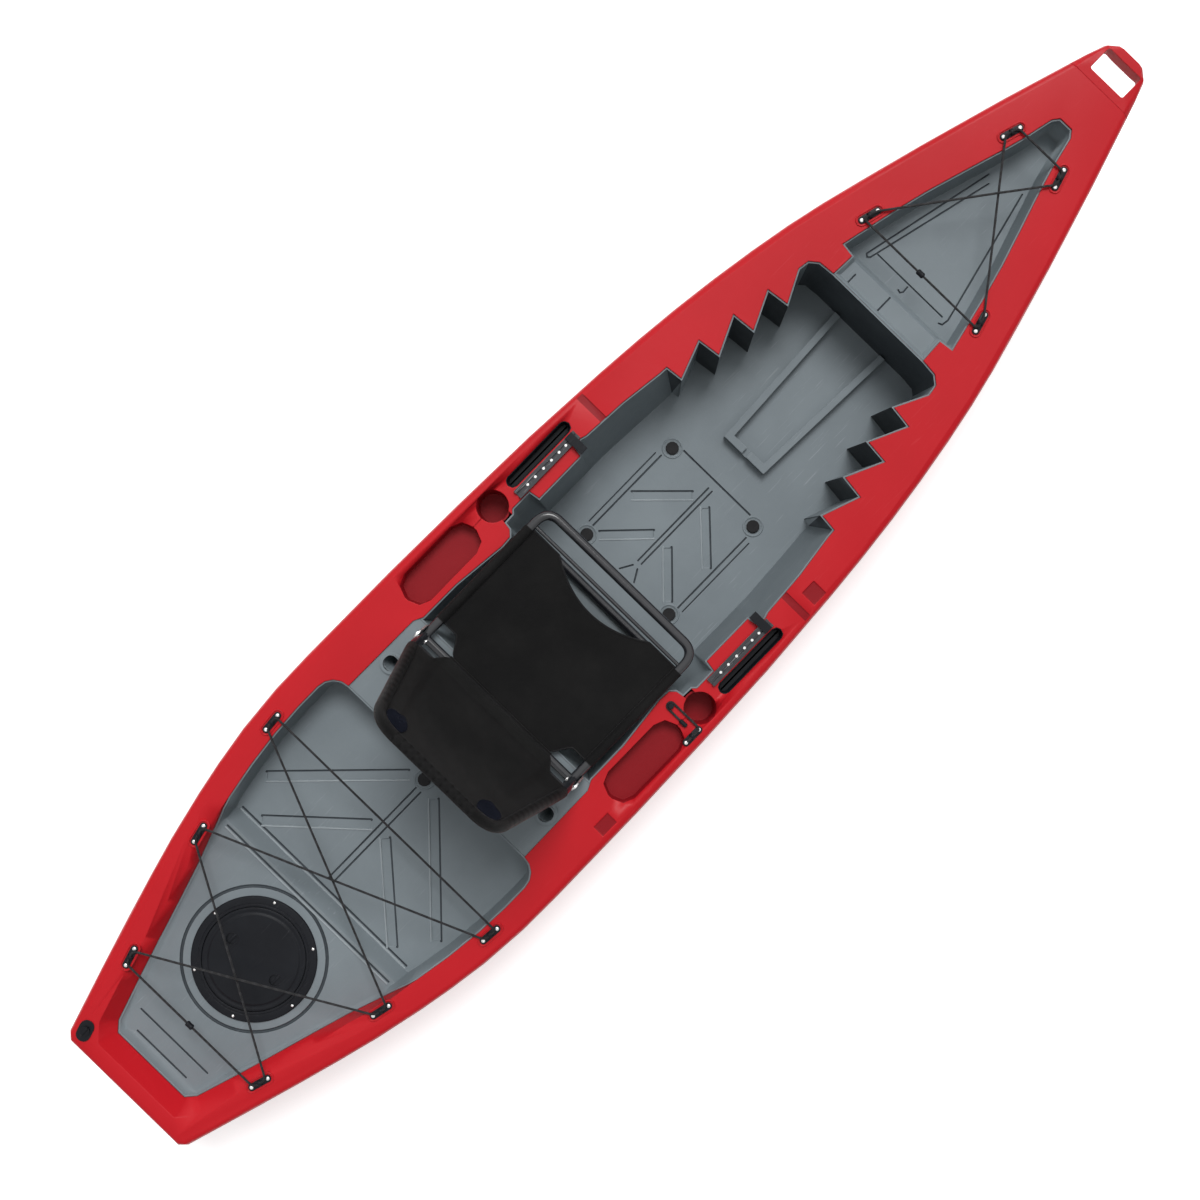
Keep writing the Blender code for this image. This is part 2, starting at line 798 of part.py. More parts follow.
# Flange, shelf and neck of the hatch in one ring, with the lid on a soft ring in it
def make_hatch():
    x = plan_x(hatch_x)
    deck = gunwale_height - stern_platform_drop
    neck = hatch_neck_radius()
    lid_seat = neck - 0.0045
    shelf = lid_seat - hatch_shelf
    turned("hatch_ring", [(hatch_radius - 0.002, 0.006), (hatch_radius, 0.004), (hatch_radius, gap),
                          (neck, gap), (neck, -hatch_neck), (shelf, -hatch_neck), (shelf, -hatch_depth),
                          (lid_seat, -hatch_depth), (lid_seat, 0.006)],
           (black, 0.38), hatch_sides, True, (x, 0, deck))
    ring_out = lid_seat - 0.004
    turned("hatch_gasket", [(ring_out, gasket_height), (ring_out, 0), (ring_out - 0.008, 0),
                            (ring_out - 0.008, gasket_height)],
           (black, 0.8), hatch_sides, True, (x, 0, deck - hatch_depth + gap))
    edge = lid_seat * math.cos(math.pi / hatch_sides) - gap
    under = -hatch_depth + gasket_height + 2 * gap
    lid = turned("hatch_lid", [(0, 0.008), (edge - 0.016, 0.008), (edge - 0.012, 0.005), (edge - 0.002, 0.006),
                               (edge, 0.004), (edge, under), (edge - 0.014, under), (edge - 0.014, 0.001),
                               (0, 0.001)],
                 (black, 0.36), hatch_sides, False, (x, 0, deck))
    for y in (0.078, -0.078):
        cut(lid, cylinder("finger_recess", 0.015, 0.0045, 0.05, 16, None, Matrix.Translation((x, y, deck))))


def rod_matrix(side):
    place_at = Matrix.Translation((rod_x, side * plan_y(rod_y), gunwale_height - grey_step))
    return place_at @ Matrix.Rotation(-rod_lean, 4, "Y")


def make_rod_holder(name, side):
    top = gunwale_height - grey_step + gap
    flange = cylinder(name, rod_flange, 0, 0.004, 24, (grey, 0.45),
                      Matrix.Translation((rod_x, side * plan_y(rod_y), top)))
    join(flange, cylinder("rod_tube", rod_bore + rod_wall, -rod_depth, 0.001, 16, None, rod_matrix(side)))
    cut(flange, cylinder("rod_bore", rod_bore, -rod_depth + rod_wall, 0.05, 16, None, rod_matrix(side)))
    return flange


def extrude_outline(name, outline, low, high, material, axis="X"):
    bm = bmesh.new()
    if axis == "X":
        near = [bm.verts.new((low, a, b)) for a, b in outline]
        far = [bm.verts.new((high, a, b)) for a, b in outline]
    elif axis == "Y":
        near = [bm.verts.new((a, low, b)) for a, b in outline]
        far = [bm.verts.new((a, high, b)) for a, b in outline]
    else:
        near = [bm.verts.new((a, b, low)) for a, b in outline]
        far = [bm.verts.new((a, b, high)) for a, b in outline]
    bridge(bm, near, far)
    bm.faces.new(near)
    bm.faces.new(far)
    return from_bmesh(bm, name, material, parts if material else cutters)


slot_half = 0.0042
cavity_half = 0.0080
cavity_floor = 0.0025
cavity_top = 0.0075


def make_track(name, side):
    half = track_width / 2
    outline = [(-half, 0), (half, 0), (half, track_height), (slot_half, track_height), (slot_half, cavity_top),
               (cavity_half, cavity_top), (cavity_half, cavity_floor), (-cavity_half, cavity_floor),
               (-cavity_half, cavity_top), (-slot_half, cavity_top), (-slot_half, track_height),
               (-half, track_height)]
    track = extrude_outline(name, outline, track_back, track_front, (black, 0.35, 0.6))
    track.location = (0, side * plan_y(track_y), gunwale_height + gap)


# The clamp's foot runs in the track's cavity, and its arm reaches inboard
def make_clamp(name, side):
    half = clamp_length / 2
    inboard = -side
    foot = cavity_half - gap
    clamp = box(name, (-half, -foot, cavity_floor + gap), (half, foot, cavity_top - gap), (black, 0.4))
    join(clamp, box("clamp_stem", (-half, -(slot_half - gap), cavity_top - 0.002),
                    (half, slot_half - gap, track_height + 0.002)))
    low_y, high_y = sorted((-inboard * track_width / 2, inboard * clamp_reach))
    join(clamp, box("clamp_arm", (-half, low_y, track_height + gap), (half, high_y, track_height + 0.008)))
    for guide in clamp.modifiers:
        guide.object.parent = clamp
    clamp.location = (clamp_x, side * plan_y(track_y), gunwale_height + gap)


def edge_direction(x, side):
    slope = (half_beam(x + 0.03) - half_beam(x - 0.03)) / 0.06
    return math.atan2(side * slope, 1.0)


# The deck's slope between the two stations that a fitting lies between
def deck_facet(x):
    above = min([s for s in stations() if s >= x] + [bow_x])
    below = max([s for s in stations() if s < x] + [stern_x])
    slope = (sheer(above) - sheer(below)) / (above - below)
    return sheer(below) + slope * (x - below), slope


def eye_matrix(x, y, direction):
    height, slope = deck_facet(x)
    lift = Matrix.Translation((x, y, height + 2 * gap))
    return lift @ Matrix.Rotation(-math.atan(slope), 4, "Y") @ Matrix.Rotation(direction, 4, "Z")


def pad_eye_mesh():
    base = extrude_outline("eye_base", rounded_rectangle((-eye_length / 2, -eye_width / 2),
                                                         (eye_length / 2, eye_width / 2), 0.0085, 2),
                           0, eye_base, (black, 0.4), "Z")
    spring = eye_base + 0.0015
    foot = eye_base - 0.0005
    half = eye_width / 2 - 0.0003
    bore = half - 0.0021
    outer = [(half, foot)] + arc((0, spring), half, 0, 180, 6) + [(-half, foot)]
    inner = [(-bore, foot)] + arc((0, spring), bore, 180, 0, 6) + [(bore, foot)]
    join(base, extrude_outline("eye_arch", outer + inner, -0.004, 0.004, None, "X"))
    bpy.context.view_layer.update()
    mesh = bpy.data.meshes.new_from_object(base.evaluated_get(bpy.context.evaluated_depsgraph_get()))
    bpy.data.objects.remove(base, do_unlink=True)
    return mesh


def eye_places():
    found = []
    for label, eyes in (("stern", stern_eyes), ("bow", bow_eyes)):
        for row, (x, y) in enumerate(eyes):
            for word, side in (("port", 1), ("starboard", -1)):
                found.append(("pad_eye_%s_%d_%s" % (label, row + 1, word), plan_x(x), side * plan_y(y), side))
    return found


def make_pad_eyes():
    mesh = pad_eye_mesh()
    for name, x, y, side in eye_places():
        eye = place(bpy.data.objects.new(name, mesh), name, None)
        eye.matrix_world = eye_matrix(x, y, edge_direction(x, side))
    eye = place(bpy.data.objects.new("paddle_keeper_eye", mesh), "paddle_keeper_eye", None)
    eye.matrix_world = eye_matrix(keeper_eye[0], plan_y(keeper_eye[1]), 0.0)


# A route with each corner rounded by a short curve
def rounded_route(points, reach, count=3):
    points = [Vector(p) for p in points]
    if reach == 0:
        return points
    route = [points[0]]
    for before, corner, after in zip(points, points[1:], points[2:]):
        cut_back = min(reach, 0.45 * (before - corner).length, 0.45 * (after - corner).length)
        start = corner + (before - corner).normalized() * cut_back
        end = corner + (after - corner).normalized() * cut_back
        for i in range(count + 1):
            t = i / count
            route.append(start * (1 - t) ** 2 + corner * 2 * t * (1 - t) + end * t ** 2)
    route.append(points[-1])
    return route


def tube(name, points, radius, material=None, reach=0.03, count=3, resolution=2):
    curve = bpy.data.curves.new(name, "CURVE")
    curve.dimensions = "3D"
    curve.bevel_depth = radius
    curve.bevel_resolution = resolution
    curve.use_fill_caps = True
    route = rounded_route(points, reach, count)
    spline = curve.splines.new("POLY")
    spline.points.add(len(route) - 1)
    for point, spot in zip(spline.points, route):
        point.co = (*spot, 1)
    made = bpy.data.objects.new(name, curve)
    return place(made, name, material, parts if material else cutters, 0)


def through_eye(x, y, side, forward):
    matrix = eye_matrix(x, y, edge_direction(x, side))
    reach = 0.018
    ends = [matrix @ Vector((end, 0, cord_lift)) for end in (-reach, reach)]
    return ends if forward else list(reversed(ends))


def cross_over(a, b, lift):
    t = a.y / (a.y - b.y)
    middle = a.lerp(b, t)
    return middle + Vector((0, 0, lift))


bead_radius = 0.008
bead_half = 0.011
cross_lift = cord_radius + 0.0008


def make_bead(name, spot):
    profile = [(0, bead_half), (bead_radius - 0.002, bead_half), (bead_radius, bead_half - 0.002),
               (bead_radius, -bead_half + 0.002), (bead_radius - 0.002, -bead_half), (0, -bead_half)]
    turned(name, profile, (black, 0.5), 12, False, spot, (math.radians(90), 0, 0))


def cord_through(name, stops, bead_name):
    spots = []
    for x, y, side, forward in stops:
        spots.append(through_eye(x, y, side, forward))
    first = spots[0][0]
    last = spots[-1][1]
    middle = first.lerp(last, 0.5)
    route = [middle + Vector((0, bead_half + gap, 0))]
    for index, ends in enumerate(spots):
        if index:
            before = route[-1]
            crossing = abs(before.x - ends[0].x) > 0.10
            if crossing:
                side_first = 1 if before.y * (ends[0].x - before.x) > 0 else -1
                route.append(cross_over(before, ends[0], side_first * cross_lift))
        route += ends
    route.append(middle - Vector((0, bead_half + gap, 0)))
    tube(name, route, cord_radius, (black, 0.6), 0.010, 1)
    make_bead(bead_name, middle)


def make_bungees():
    (ax, ay), (bx, by), (cx, cy) = [(plan_x(x), plan_y(y)) for x, y in stern_eyes]
    cord_through("stern_bungee", [(ax, ay, 1, True), (bx, -by, -1, True), (cx, cy, 1, True),
                                  (cx, -cy, -1, False), (bx, by, 1, False), (ax, -ay, -1, False)],
                 "stern_bungee_bead")
    (dx, dy), (ex, ey) = [(plan_x(x), plan_y(y)) for x, y in bow_eyes]
    stops = [(dx, dy, 1, True), (ex, -ey, -1, True), (ex, ey, 1, False), (dx, -dy, -1, False)]
    cord_through("bow_bungee", stops, "bow_bungee_bead")


# The paddle keeper: a cord from its pad eye, looped round a button and back to a clamp bead
def make_paddle_keeper():
    eye_y = plan_y(keeper_eye[1])
    button_x = keeper_button[0]
    button_y = plan_y(keeper_button[1])
    deck = gunwale_height
    turned("paddle_keeper_button", [(0, 0.012), (0.0070, 0.012), (0.0085, 0.010), (0.0085, 0.008),
                                    (0.0055, 0.007), (0.0055, 0.001), (0.0075, 0.0), (0, 0.0)],
           (black, 0.4), 12, False, (button_x, button_y, deck + gap))
    ring = 0.0055 + cord_radius + gap + 0.001
    height = deck + cord_lift + 2 * gap
    loop_z = deck + cord_radius + 2 * gap + 0.0008
    run_out = button_x + ring
    run_back = button_x - ring
    bead_y = eye_y + 0.040
    route = [(keeper_eye[0] - 0.018, eye_y, height), (run_out, eye_y, height),
             (run_out, eye_y + 0.014, height), (run_out, bead_y + 0.012, loop_z), (run_out, button_y, loop_z)]
    route = rounded_route(route, 0.006, 1)[:-1]
    turn_steps = 6
    for i in range(turn_steps):
        angle = math.pi * i / turn_steps
        route.append((button_x + ring * math.cos(angle), button_y + ring * math.sin(angle), loop_z))
    route += [(run_back, button_y, loop_z), (run_back, bead_y + bead_half + gap, loop_z)]
    tube("paddle_keeper_cord", route, cord_radius, (black, 0.6), 0)
    bead = [(0, bead_half), (0.0045, bead_half), (0.0058, bead_half - 0.002), (0.0058, -bead_half + 0.002),
            (0.0045, -bead_half), (0, -bead_half)]
    turned("paddle_keeper_bead", bead, (black, 0.5), 12, False, (run_back, bead_y, deck + 0.0058 + gap),
           (math.radians(90), 0, 0))


# Drain fitting on the port quarter
drain_sleeve = 0.0120
drain_wall = 0.0025
drain_length = 0.056
drain_width = 0.038


def drain_place():
    return plan_x(-1.779), plan_y(0.182)


def make_drain():
    x, y = drain_place()
    deck, slope = deck_facet(x)
    heading = edge_direction(x, 1)
    tilt = Matrix.Rotation(-math.atan(slope), 4, "Y")
    spot = Matrix.Translation((x, y, deck + gap)) @ tilt
    base = extrude_outline("drain_base", rounded_rectangle((-drain_length / 2, -drain_width / 2),
                                                           (drain_length / 2, drain_width / 2), 0.018, 4),
                           0, 0.003, (black, 0.4), "Z")
    base.matrix_world = spot @ Matrix.Rotation(heading, 4, "Z")
    join(base, cylinder("drain_sleeve", drain_sleeve, -0.016, 0.002, 16, None, spot))
    bore = drain_sleeve - drain_wall
    cut(base, cylinder("drain_bore", bore, -0.1, 0.1, 16, None, spot))
    plug = turned("drain_plug", [(0, 0.010), (0.0105, 0.010), (0.0125, 0.008), (0.0125, 0), (bore - gap, 0),
                                 (bore - gap, -0.014), (0, -0.014)],
                  (black, 0.5), 16, False)
    plug.matrix_world = spot @ Matrix.Translation((0, 0, 0.003 + gap))
    grip = box("drain_grip_cut", (-0.02, 0.0022, 0.004), (0.02, 0.02, 0.02))
    grip_other = box("drain_grip_cut", (-0.02, -0.02, 0.004), (0.02, -0.0022, 0.02))
    for cutter in (grip, grip_other):
        cutter.matrix_world = plug.matrix_world.copy()
        cut(plug, cutter)


# Console rails on the cockpit floor: a cross bar with two rails running to the bow wall
def make_console_frame():
    aft = 0.475
    bar = 0.020
    front = 0.922
    rail = 0.018
    outline = [(aft, -0.073), (front, -0.092), (front, -0.092 + rail), (aft + bar, -0.073 + rail),
               (aft + bar, 0.073 - rail), (front, 0.092 - rail), (front, 0.092), (aft, 0.073)]
    low = cockpit_floor + gap
    frame = extrude_outline("console_frame", outline, low, low + 0.030, (grey, 0.45), "Z")
    cut(frame, box("bar_notch", (aft - 0.01, -0.008, low + 0.018), (aft + bar + 0.01, 0.008, low + 0.1)))


def make_foam():
    low = hull_wall + gap
    box("foam_block_cockpit", (0.52, -0.045, low), (0.84, 0.045, cockpit_floor - tub_wall - gap),
        (foam_white, 0.9))
    top = gunwale_height - stern_floor_drop - tub_wall - gap
    box("foam_block_stern", (-1.080, -0.045, low), (-0.780, 0.045, top), (foam_white, 0.9))


# Seat base: a bent tube loop with a rear bar and a thin front rod
def make_seat_base():
    half = seat_half_width
    z = seat_height
    loop = tube("seat_base_frame", [(seat_back, half, z), (seat_front, half, z), (seat_front, -half, z),
                                    (seat_back, -half, z)], seat_tube, (black, 0.3, 0.4), 0.045, 5, 2)
    name = loop.name
    frame = place(mesh_from_curve(loop), name, (black, 0.3, 0.4))
    ends = [(rear_bar_x, half, z), (rear_bar_x, -half, z)]
    rear = tube("rear_bar", ends, seat_tube - 0.001, None, 0.01, 1, 2)
    join(frame, place(mesh_from_curve(rear), "rear_bar", None, cutters))
    rod = tube("front_rod", [(seat_rod_x, half, z), (seat_rod_x, -half, z)], seat_rod, None, 0.01, 1, 2)
    join(frame, place(mesh_from_curve(rod), "front_rod", None, cutters))
    return frame


def make_seat_leg(name, x):
    top = seat_height - seat_tube - gap
    foot = cockpit_floor + gap + seat_tube
    tube(name, [(x, seat_half_width, top), (x, leg_foot_half, foot), (x, -leg_foot_half, foot),
                (x, -seat_half_width, top)], seat_tube, (black, 0.3, 0.4), 0.035, 4, 2)


def back_matrix():
    return Matrix.Translation((hinge_x, 0, hinge_height)) @ Matrix.Rotation(-back_lean, 4, "Y")


back_bend = 0.065
back_bar = 0.050
back_reach = 0.060


# Half width of the back's frame at a height, with the rounding of its bend
def back_half(height):
    lean_in = (seat_half_width - back_top_half) / (back_length - back_bend)
    rounding = lean_in * max(back_reach - abs(height - back_bend), 0) ** 2 / (4 * back_reach)
    return seat_half_width - lean_in * max(height - back_bend, 0) - rounding


def make_seat_back():
    half = seat_half_width
    loop = tube("seat_back_frame", [(0, half, -0.010), (0, half, back_bend), (0, back_top_half, back_length),
                                    (0, -back_top_half, back_length), (0, -half, back_bend), (0, -half, -0.010)],
                seat_tube, (black, 0.3, 0.4), back_reach, 4, 2)
    frame = place(mesh_from_curve(loop), "seat_back_frame", (black, 0.3, 0.4))
    frame.matrix_world = back_matrix()
    bar = tube("back_bar", [(0, half, back_bar), (0, -half, back_bar)], 0.008, None, 0.01, 1, 2)
    bar = place(mesh_from_curve(bar), "back_bar", None, cutters)
    bar.matrix_world = back_matrix()
    join(frame, bar)
    pin_turn = Matrix.Translation((hinge_x, 0, hinge_height)) @ Matrix.Rotation(math.radians(90), 4, "X")
    cut(frame, cylinder("pin_hole", pin_radius + gap, -0.4, 0.4, 12, None, pin_turn))
    return frame


def make_hinge(word, side):
    inner = seat_half_width + seat_tube + gap
    low, high = sorted((side * inner, side * (inner + bracket_wall)))
    top = arc((hinge_x, hinge_height), 0.014, 0, 180, 6)
    outline = top + [(hinge_x - 0.016, seat_height - 0.010), (hinge_x + 0.030, seat_height - 0.010),
                     (hinge_x + 0.030, seat_height + 0.008)]
    bracket = extrude_outline("seat_hinge_bracket_" + word, outline, low, high, (steel, 0.35, 0.8), "Y")
    turn = Matrix.Translation((hinge_x, 0, hinge_height)) @ Matrix.Rotation(math.radians(90), 4, "X")
    cut(bracket, cylinder("bracket_hole", pin_radius + gap, -0.4, 0.4, 12, None, turn))
    head = 0.0065
    near = seat_half_width - seat_tube - 2 * gap
    far = inner + bracket_wall + gap
    profile = [(0, far + 0.002), (head, far + 0.002), (head, far), (pin_radius, far), (pin_radius, near),
               (head, near), (head, near - 0.002), (0, near - 0.002)]
    turned("seat_hinge_pin_" + word, profile, (steel, 0.25, 0.9), 12, False, (hinge_x, 0, hinge_height),
           (math.radians(-90 * side), 0, 0))


# A taut sling: a grid between two edges, sagging toward its middle, made solid
def make_sling(name, rows, columns, spot, matrix=None):
    bm = bmesh.new()
    grid = []
    for i in range(rows + 1):
        grid.append([bm.verts.new(spot(i / rows, -1 + 2 * j / columns)) for j in range(columns + 1)])
    for low, high in zip(grid, grid[1:]):
        for j in range(columns):
            bm.faces.new((low[j], low[j + 1], high[j + 1], high[j]))
    sling = from_bmesh(bm, name, (fabric_black, 0.7), parts, 60)
    wall = sling.modifiers.new("cloth", "SOLIDIFY")
    wall.thickness = mesh_wall
    wall.offset = 0
    if matrix is not None:
        sling.matrix_world = matrix
    return sling


def make_slings():
    half = seat_half_width - seat_tube - gap

    def pan_spot(along, across):
        y = across * half
        front = -0.115 + 0.053 * min(1, (abs(y) / 0.16)) ** 2
        back = -0.4385 + 0.046 * smooth_step((abs(y) - 0.165) / 0.045)
        x = back + (front - back) * along
        sag = 0.022 * (1 - across ** 2) * math.sin(math.pi * (0.15 + 0.75 * along))
        return x, y, seat_height + 0.001 - sag

    def back_spot(along, across):
        low = back_bar + 0.0105
        height = low + (back_length - seat_tube - 0.003 - low) * along
        edge = back_half(height) - seat_tube - 2 * gap
        corner = 0.050 * max(0, 1 - (back_length - height) / back_reach) ** 1.5
        y = across * (edge - corner)
        sag = 0.024 * (1 - across ** 2) * math.sin(math.pi * (0.1 + 0.8 * along))
        return -sag, y, height

    make_sling("seat_pan_mesh", 8, 10, pan_spot)
    make_sling("seat_back_mesh", 9, 10, back_spot, back_matrix())


def build():
    make_hull_shell()
    make_keel_panel()
    make_gunwale_deck()
    make_bow_handle()
    make_stern_well()
    make_seat_deck()
    make_cockpit_tub()
    make_bow_well()
    make_console_frame()
    make_foam()
    for index, spot in enumerate(cockpit_scuppers + (stern_scupper,)):
        make_scupper(index + 1, spot)
    make_hatch()
    for word, side in (("port", 1), ("starboard", -1)):
        make_rod_holder("rod_holder_" + word, side)
        make_track("gear_track_" + word, side)
        make_clamp("track_clamp_" + word, side)
        make_hinge(word, side)
    make_pad_eyes()
    make_bungees()
    make_paddle_keeper()
    make_drain()
    make_seat_base()
    make_seat_leg("seat_front_leg", front_leg_x)
    make_seat_leg("seat_rear_leg", rear_leg_x)
    make_seat_back()
    make_slings()


build()
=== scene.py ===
import math

import bmesh
import bpy
from mathutils import Matrix, Vector


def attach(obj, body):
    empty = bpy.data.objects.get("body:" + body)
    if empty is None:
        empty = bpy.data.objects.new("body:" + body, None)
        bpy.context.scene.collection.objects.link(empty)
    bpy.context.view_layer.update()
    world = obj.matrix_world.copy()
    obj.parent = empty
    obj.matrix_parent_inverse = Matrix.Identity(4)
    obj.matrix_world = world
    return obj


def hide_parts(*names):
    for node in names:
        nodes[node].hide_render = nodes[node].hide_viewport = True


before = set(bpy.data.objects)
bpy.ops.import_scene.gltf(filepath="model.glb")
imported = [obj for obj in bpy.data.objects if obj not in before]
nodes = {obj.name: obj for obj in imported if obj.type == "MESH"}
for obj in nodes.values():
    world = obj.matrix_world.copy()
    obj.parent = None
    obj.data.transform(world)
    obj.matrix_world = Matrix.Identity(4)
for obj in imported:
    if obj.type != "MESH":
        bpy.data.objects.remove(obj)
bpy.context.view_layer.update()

scene = bpy.context.scene
scene.view_settings.view_transform = "Standard"


# Node helpers

# Adds a node: a value that is a socket is linked to its input, and any other is set on it
def addNode(tree, kind, values=None, **settings):
    node = tree.nodes.new(kind)
    for key, value in settings.items():
        setattr(node, key, value)
    for key, value in (values or {}).items():
        if isinstance(value, bpy.types.NodeSocket):
            tree.links.new(value, node.inputs[key])
        else:
            node.inputs[key].default_value = value
    return node


def mathNode(tree, operation, *values, **settings):
    return addNode(tree, "ShaderNodeMath", dict(enumerate(values)), operation=operation, **settings).outputs[0]


def rangeNode(tree, value, low, high, **ends):
    values = {"Value": value, "From Min": low, "From Max": high}
    values.update({"To " + key.capitalize(): end for key, end in ends.items()})
    return addNode(tree, "ShaderNodeMapRange", values).outputs["Result"]


def noiseNode(tree, vector, scale, detail, roughness=0.5):
    values = {"Vector": vector, "Scale": scale, "Detail": detail, "Roughness": roughness}
    return addNode(tree, "ShaderNodeTexNoise", values).outputs["Fac"]


def mixNode(tree, factor, first, second):
    values = {"Factor": factor, "A": first, "B": second}
    return addNode(tree, "ShaderNodeMix", values, data_type="RGBA").outputs["Result"]


# Studio: camera straight above the kayak, pale floor, soft light from the bow

studio = {
    "cameraX": -0.073,
    "cameraY": 0.006,
    "cameraHeight": 4.1,
    "cameraTurn": -45.8,
    "gunwaleHeight": 0.300,
    "viewWidth": 3.076,
    "sensorWidth": 36,
    "floorColour": (0.84, 0.84, 0.84, 1),
    "floorGlow": 0.55,
    "floorReach": 9,
    "skyStrength": 0.16,
    "keyFrom": (0.62, 0.48, 1.35),
    "keyStrength": 2.0,
    "keySoftness": 26,
    "fillFrom": (0.45, 0.35, 1.0),
    "fillStrength": 1.20,
    "fillSoftness": 120,
}


def softLight(name, direction, strength, softness):
    light = bpy.data.lights.new(name, "SUN")
    light.energy = strength
    light.angle = math.radians(softness)
    lamp = bpy.data.objects.new(name, light)
    scene.collection.objects.link(lamp)
    lamp.location = Vector(direction) * 4
    lamp.rotation_euler = Vector(direction).to_track_quat("Z", "Y").to_euler()


# White for what the camera sees directly or in a reflection, and less for the light it gives
def backdropMask(tree):
    path = tree.nodes.new("ShaderNodeLightPath").outputs
    seen = mathNode(tree, "MAXIMUM", path["Is Camera Ray"], path["Is Glossy Ray"])
    return mathNode(tree, "MAXIMUM", seen, path["Is Transmission Ray"])


def makeStudio():
    lens = bpy.data.cameras.new("photoCamera")
    lens.sensor_width = studio["sensorWidth"]
    lens.lens = studio["sensorWidth"] * (studio["cameraHeight"] - studio["gunwaleHeight"]) / studio["viewWidth"]
    lens.clip_end = 50
    camera = bpy.data.objects.new("photoCamera", lens)
    scene.collection.objects.link(camera)
    camera.location = (studio["cameraX"], studio["cameraY"], studio["cameraHeight"])
    camera.rotation_euler = (0, 0, math.radians(studio["cameraTurn"]))
    scene.camera = camera

    bm = bmesh.new()
    bmesh.ops.create_grid(bm, x_segments=1, y_segments=1, size=studio["floorReach"])
    bmesh.ops.translate(bm, verts=bm.verts, vec=(0, 0, -0.001))
    floorMesh = bpy.data.meshes.new("floor")
    bm.to_mesh(floorMesh)
    bm.free()
    floor = bpy.data.objects.new("floor", floorMesh)
    scene.collection.objects.link(floor)
    paint = bpy.data.materials.new("paleFloor")
    paint.use_nodes = True
    tree = paint.node_tree
    shader = tree.nodes["Principled BSDF"]
    shader.inputs["Base Color"].default_value = studio["floorColour"]
    shader.inputs["Roughness"].default_value = 0.9
    shader.inputs["Specular IOR Level"].default_value = 0.1
    shader.inputs["Emission Color"].default_value = (1, 1, 1, 1)
    glow = mathNode(tree, "MULTIPLY", backdropMask(tree), studio["floorGlow"])
    tree.links.new(glow, shader.inputs["Emission Strength"])
    floor.data.materials.append(paint)

    world = bpy.data.worlds.new("studioSky")
    scene.world = world
    world.use_nodes = True
    sky = world.node_tree
    back = sky.nodes["Background"]
    back.inputs["Color"].default_value = (1, 1, 1, 1)
    strength = rangeNode(sky, backdropMask(sky), 0.0, 1.0, min=studio["skyStrength"], max=1.0)
    sky.links.new(strength, back.inputs["Strength"])

    for word in ("key", "fill"):
        softLight(word + "Light", studio[word + "From"], studio[word + "Strength"], studio[word + "Softness"])


makeStudio()
print("stage: studio ready")


# Shader groups: each puts out values, colours or normals only

def newGroup(name, inputs, outputs):
    group = bpy.data.node_groups.new(name, "ShaderNodeTree")
    for end, labels in (("INPUT", inputs), ("OUTPUT", outputs)):
        for label in labels:
            kind = "Color" if label.endswith("Colour") else "Vector" if label == "Normal" else "Float"
            group.interface.new_socket(label, in_out=end, socket_type="NodeSocket" + kind)
    return group, group.nodes.new("NodeGroupInput").outputs, group.nodes.new("NodeGroupOutput").inputs


# Moulded plastic: fine grain, slow orange peel, cloudy tone and scattered scuffs
def makePlasticGroup():
    group, given, out = newGroup(
        "mouldedPlastic",
        ["Colour", "Cloud Colour", "Scuff Colour", "Cloud Scale", "Cloud Amount", "Scuff Amount", "Grain Scale",
         "Grain Depth", "Roughness", "Roughness Spread"],
        ["Colour", "Roughness", "Height"])
    place = addNode(group, "ShaderNodeTexCoord").outputs["Object"]
    cloud = noiseNode(group, place, given["Cloud Scale"], 4.0, 0.55)
    cloudPart = mathNode(group, "MULTIPLY", rangeNode(group, cloud, 0.38, 0.66), given["Cloud Amount"])
    toned = mixNode(group, cloudPart, given["Colour"], given["Cloud Colour"])

    # scuffs are long thin noise in two directions, shown only in patches
    masks = []
    for turn, stretch in ((0.5, (9, 260, 40)), (2.2, (12, 210, 60))):
        turned = addNode(group, "ShaderNodeMapping", {"Vector": place, "Rotation": (0, 0, turn), "Scale": stretch})
        masks.append(rangeNode(group, noiseNode(group, turned.outputs["Vector"], 1.0, 2.0), 0.67, 0.74))
    patch = rangeNode(group, noiseNode(group, place, 2.3, 2.0), 0.45, 0.68)
    scuff = mathNode(group, "MULTIPLY", mathNode(group, "MAXIMUM", *masks), patch)
    scuffPart = mathNode(group, "MULTIPLY", scuff, given["Scuff Amount"])
    group.links.new(mixNode(group, scuffPart, toned, given["Scuff Colour"]), out["Colour"])

    rough = mathNode(group, "MULTIPLY_ADD", cloud, given["Roughness Spread"], given["Roughness"])
    group.links.new(mathNode(group, "MULTIPLY_ADD", scuffPart, 0.25, rough), out["Roughness"])

    grain = noiseNode(group, place, given["Grain Scale"], 2.0, 0.6)
    grainPart = mathNode(group, "MULTIPLY", grain, given["Grain Depth"])
    height = mathNode(group, "MULTIPLY_ADD", noiseNode(group, place, 95.0, 1.0), 0.55, grainPart)
    group.links.new(mathNode(group, "MULTIPLY_ADD", scuffPart, -0.5, height), out["Height"])
    return group


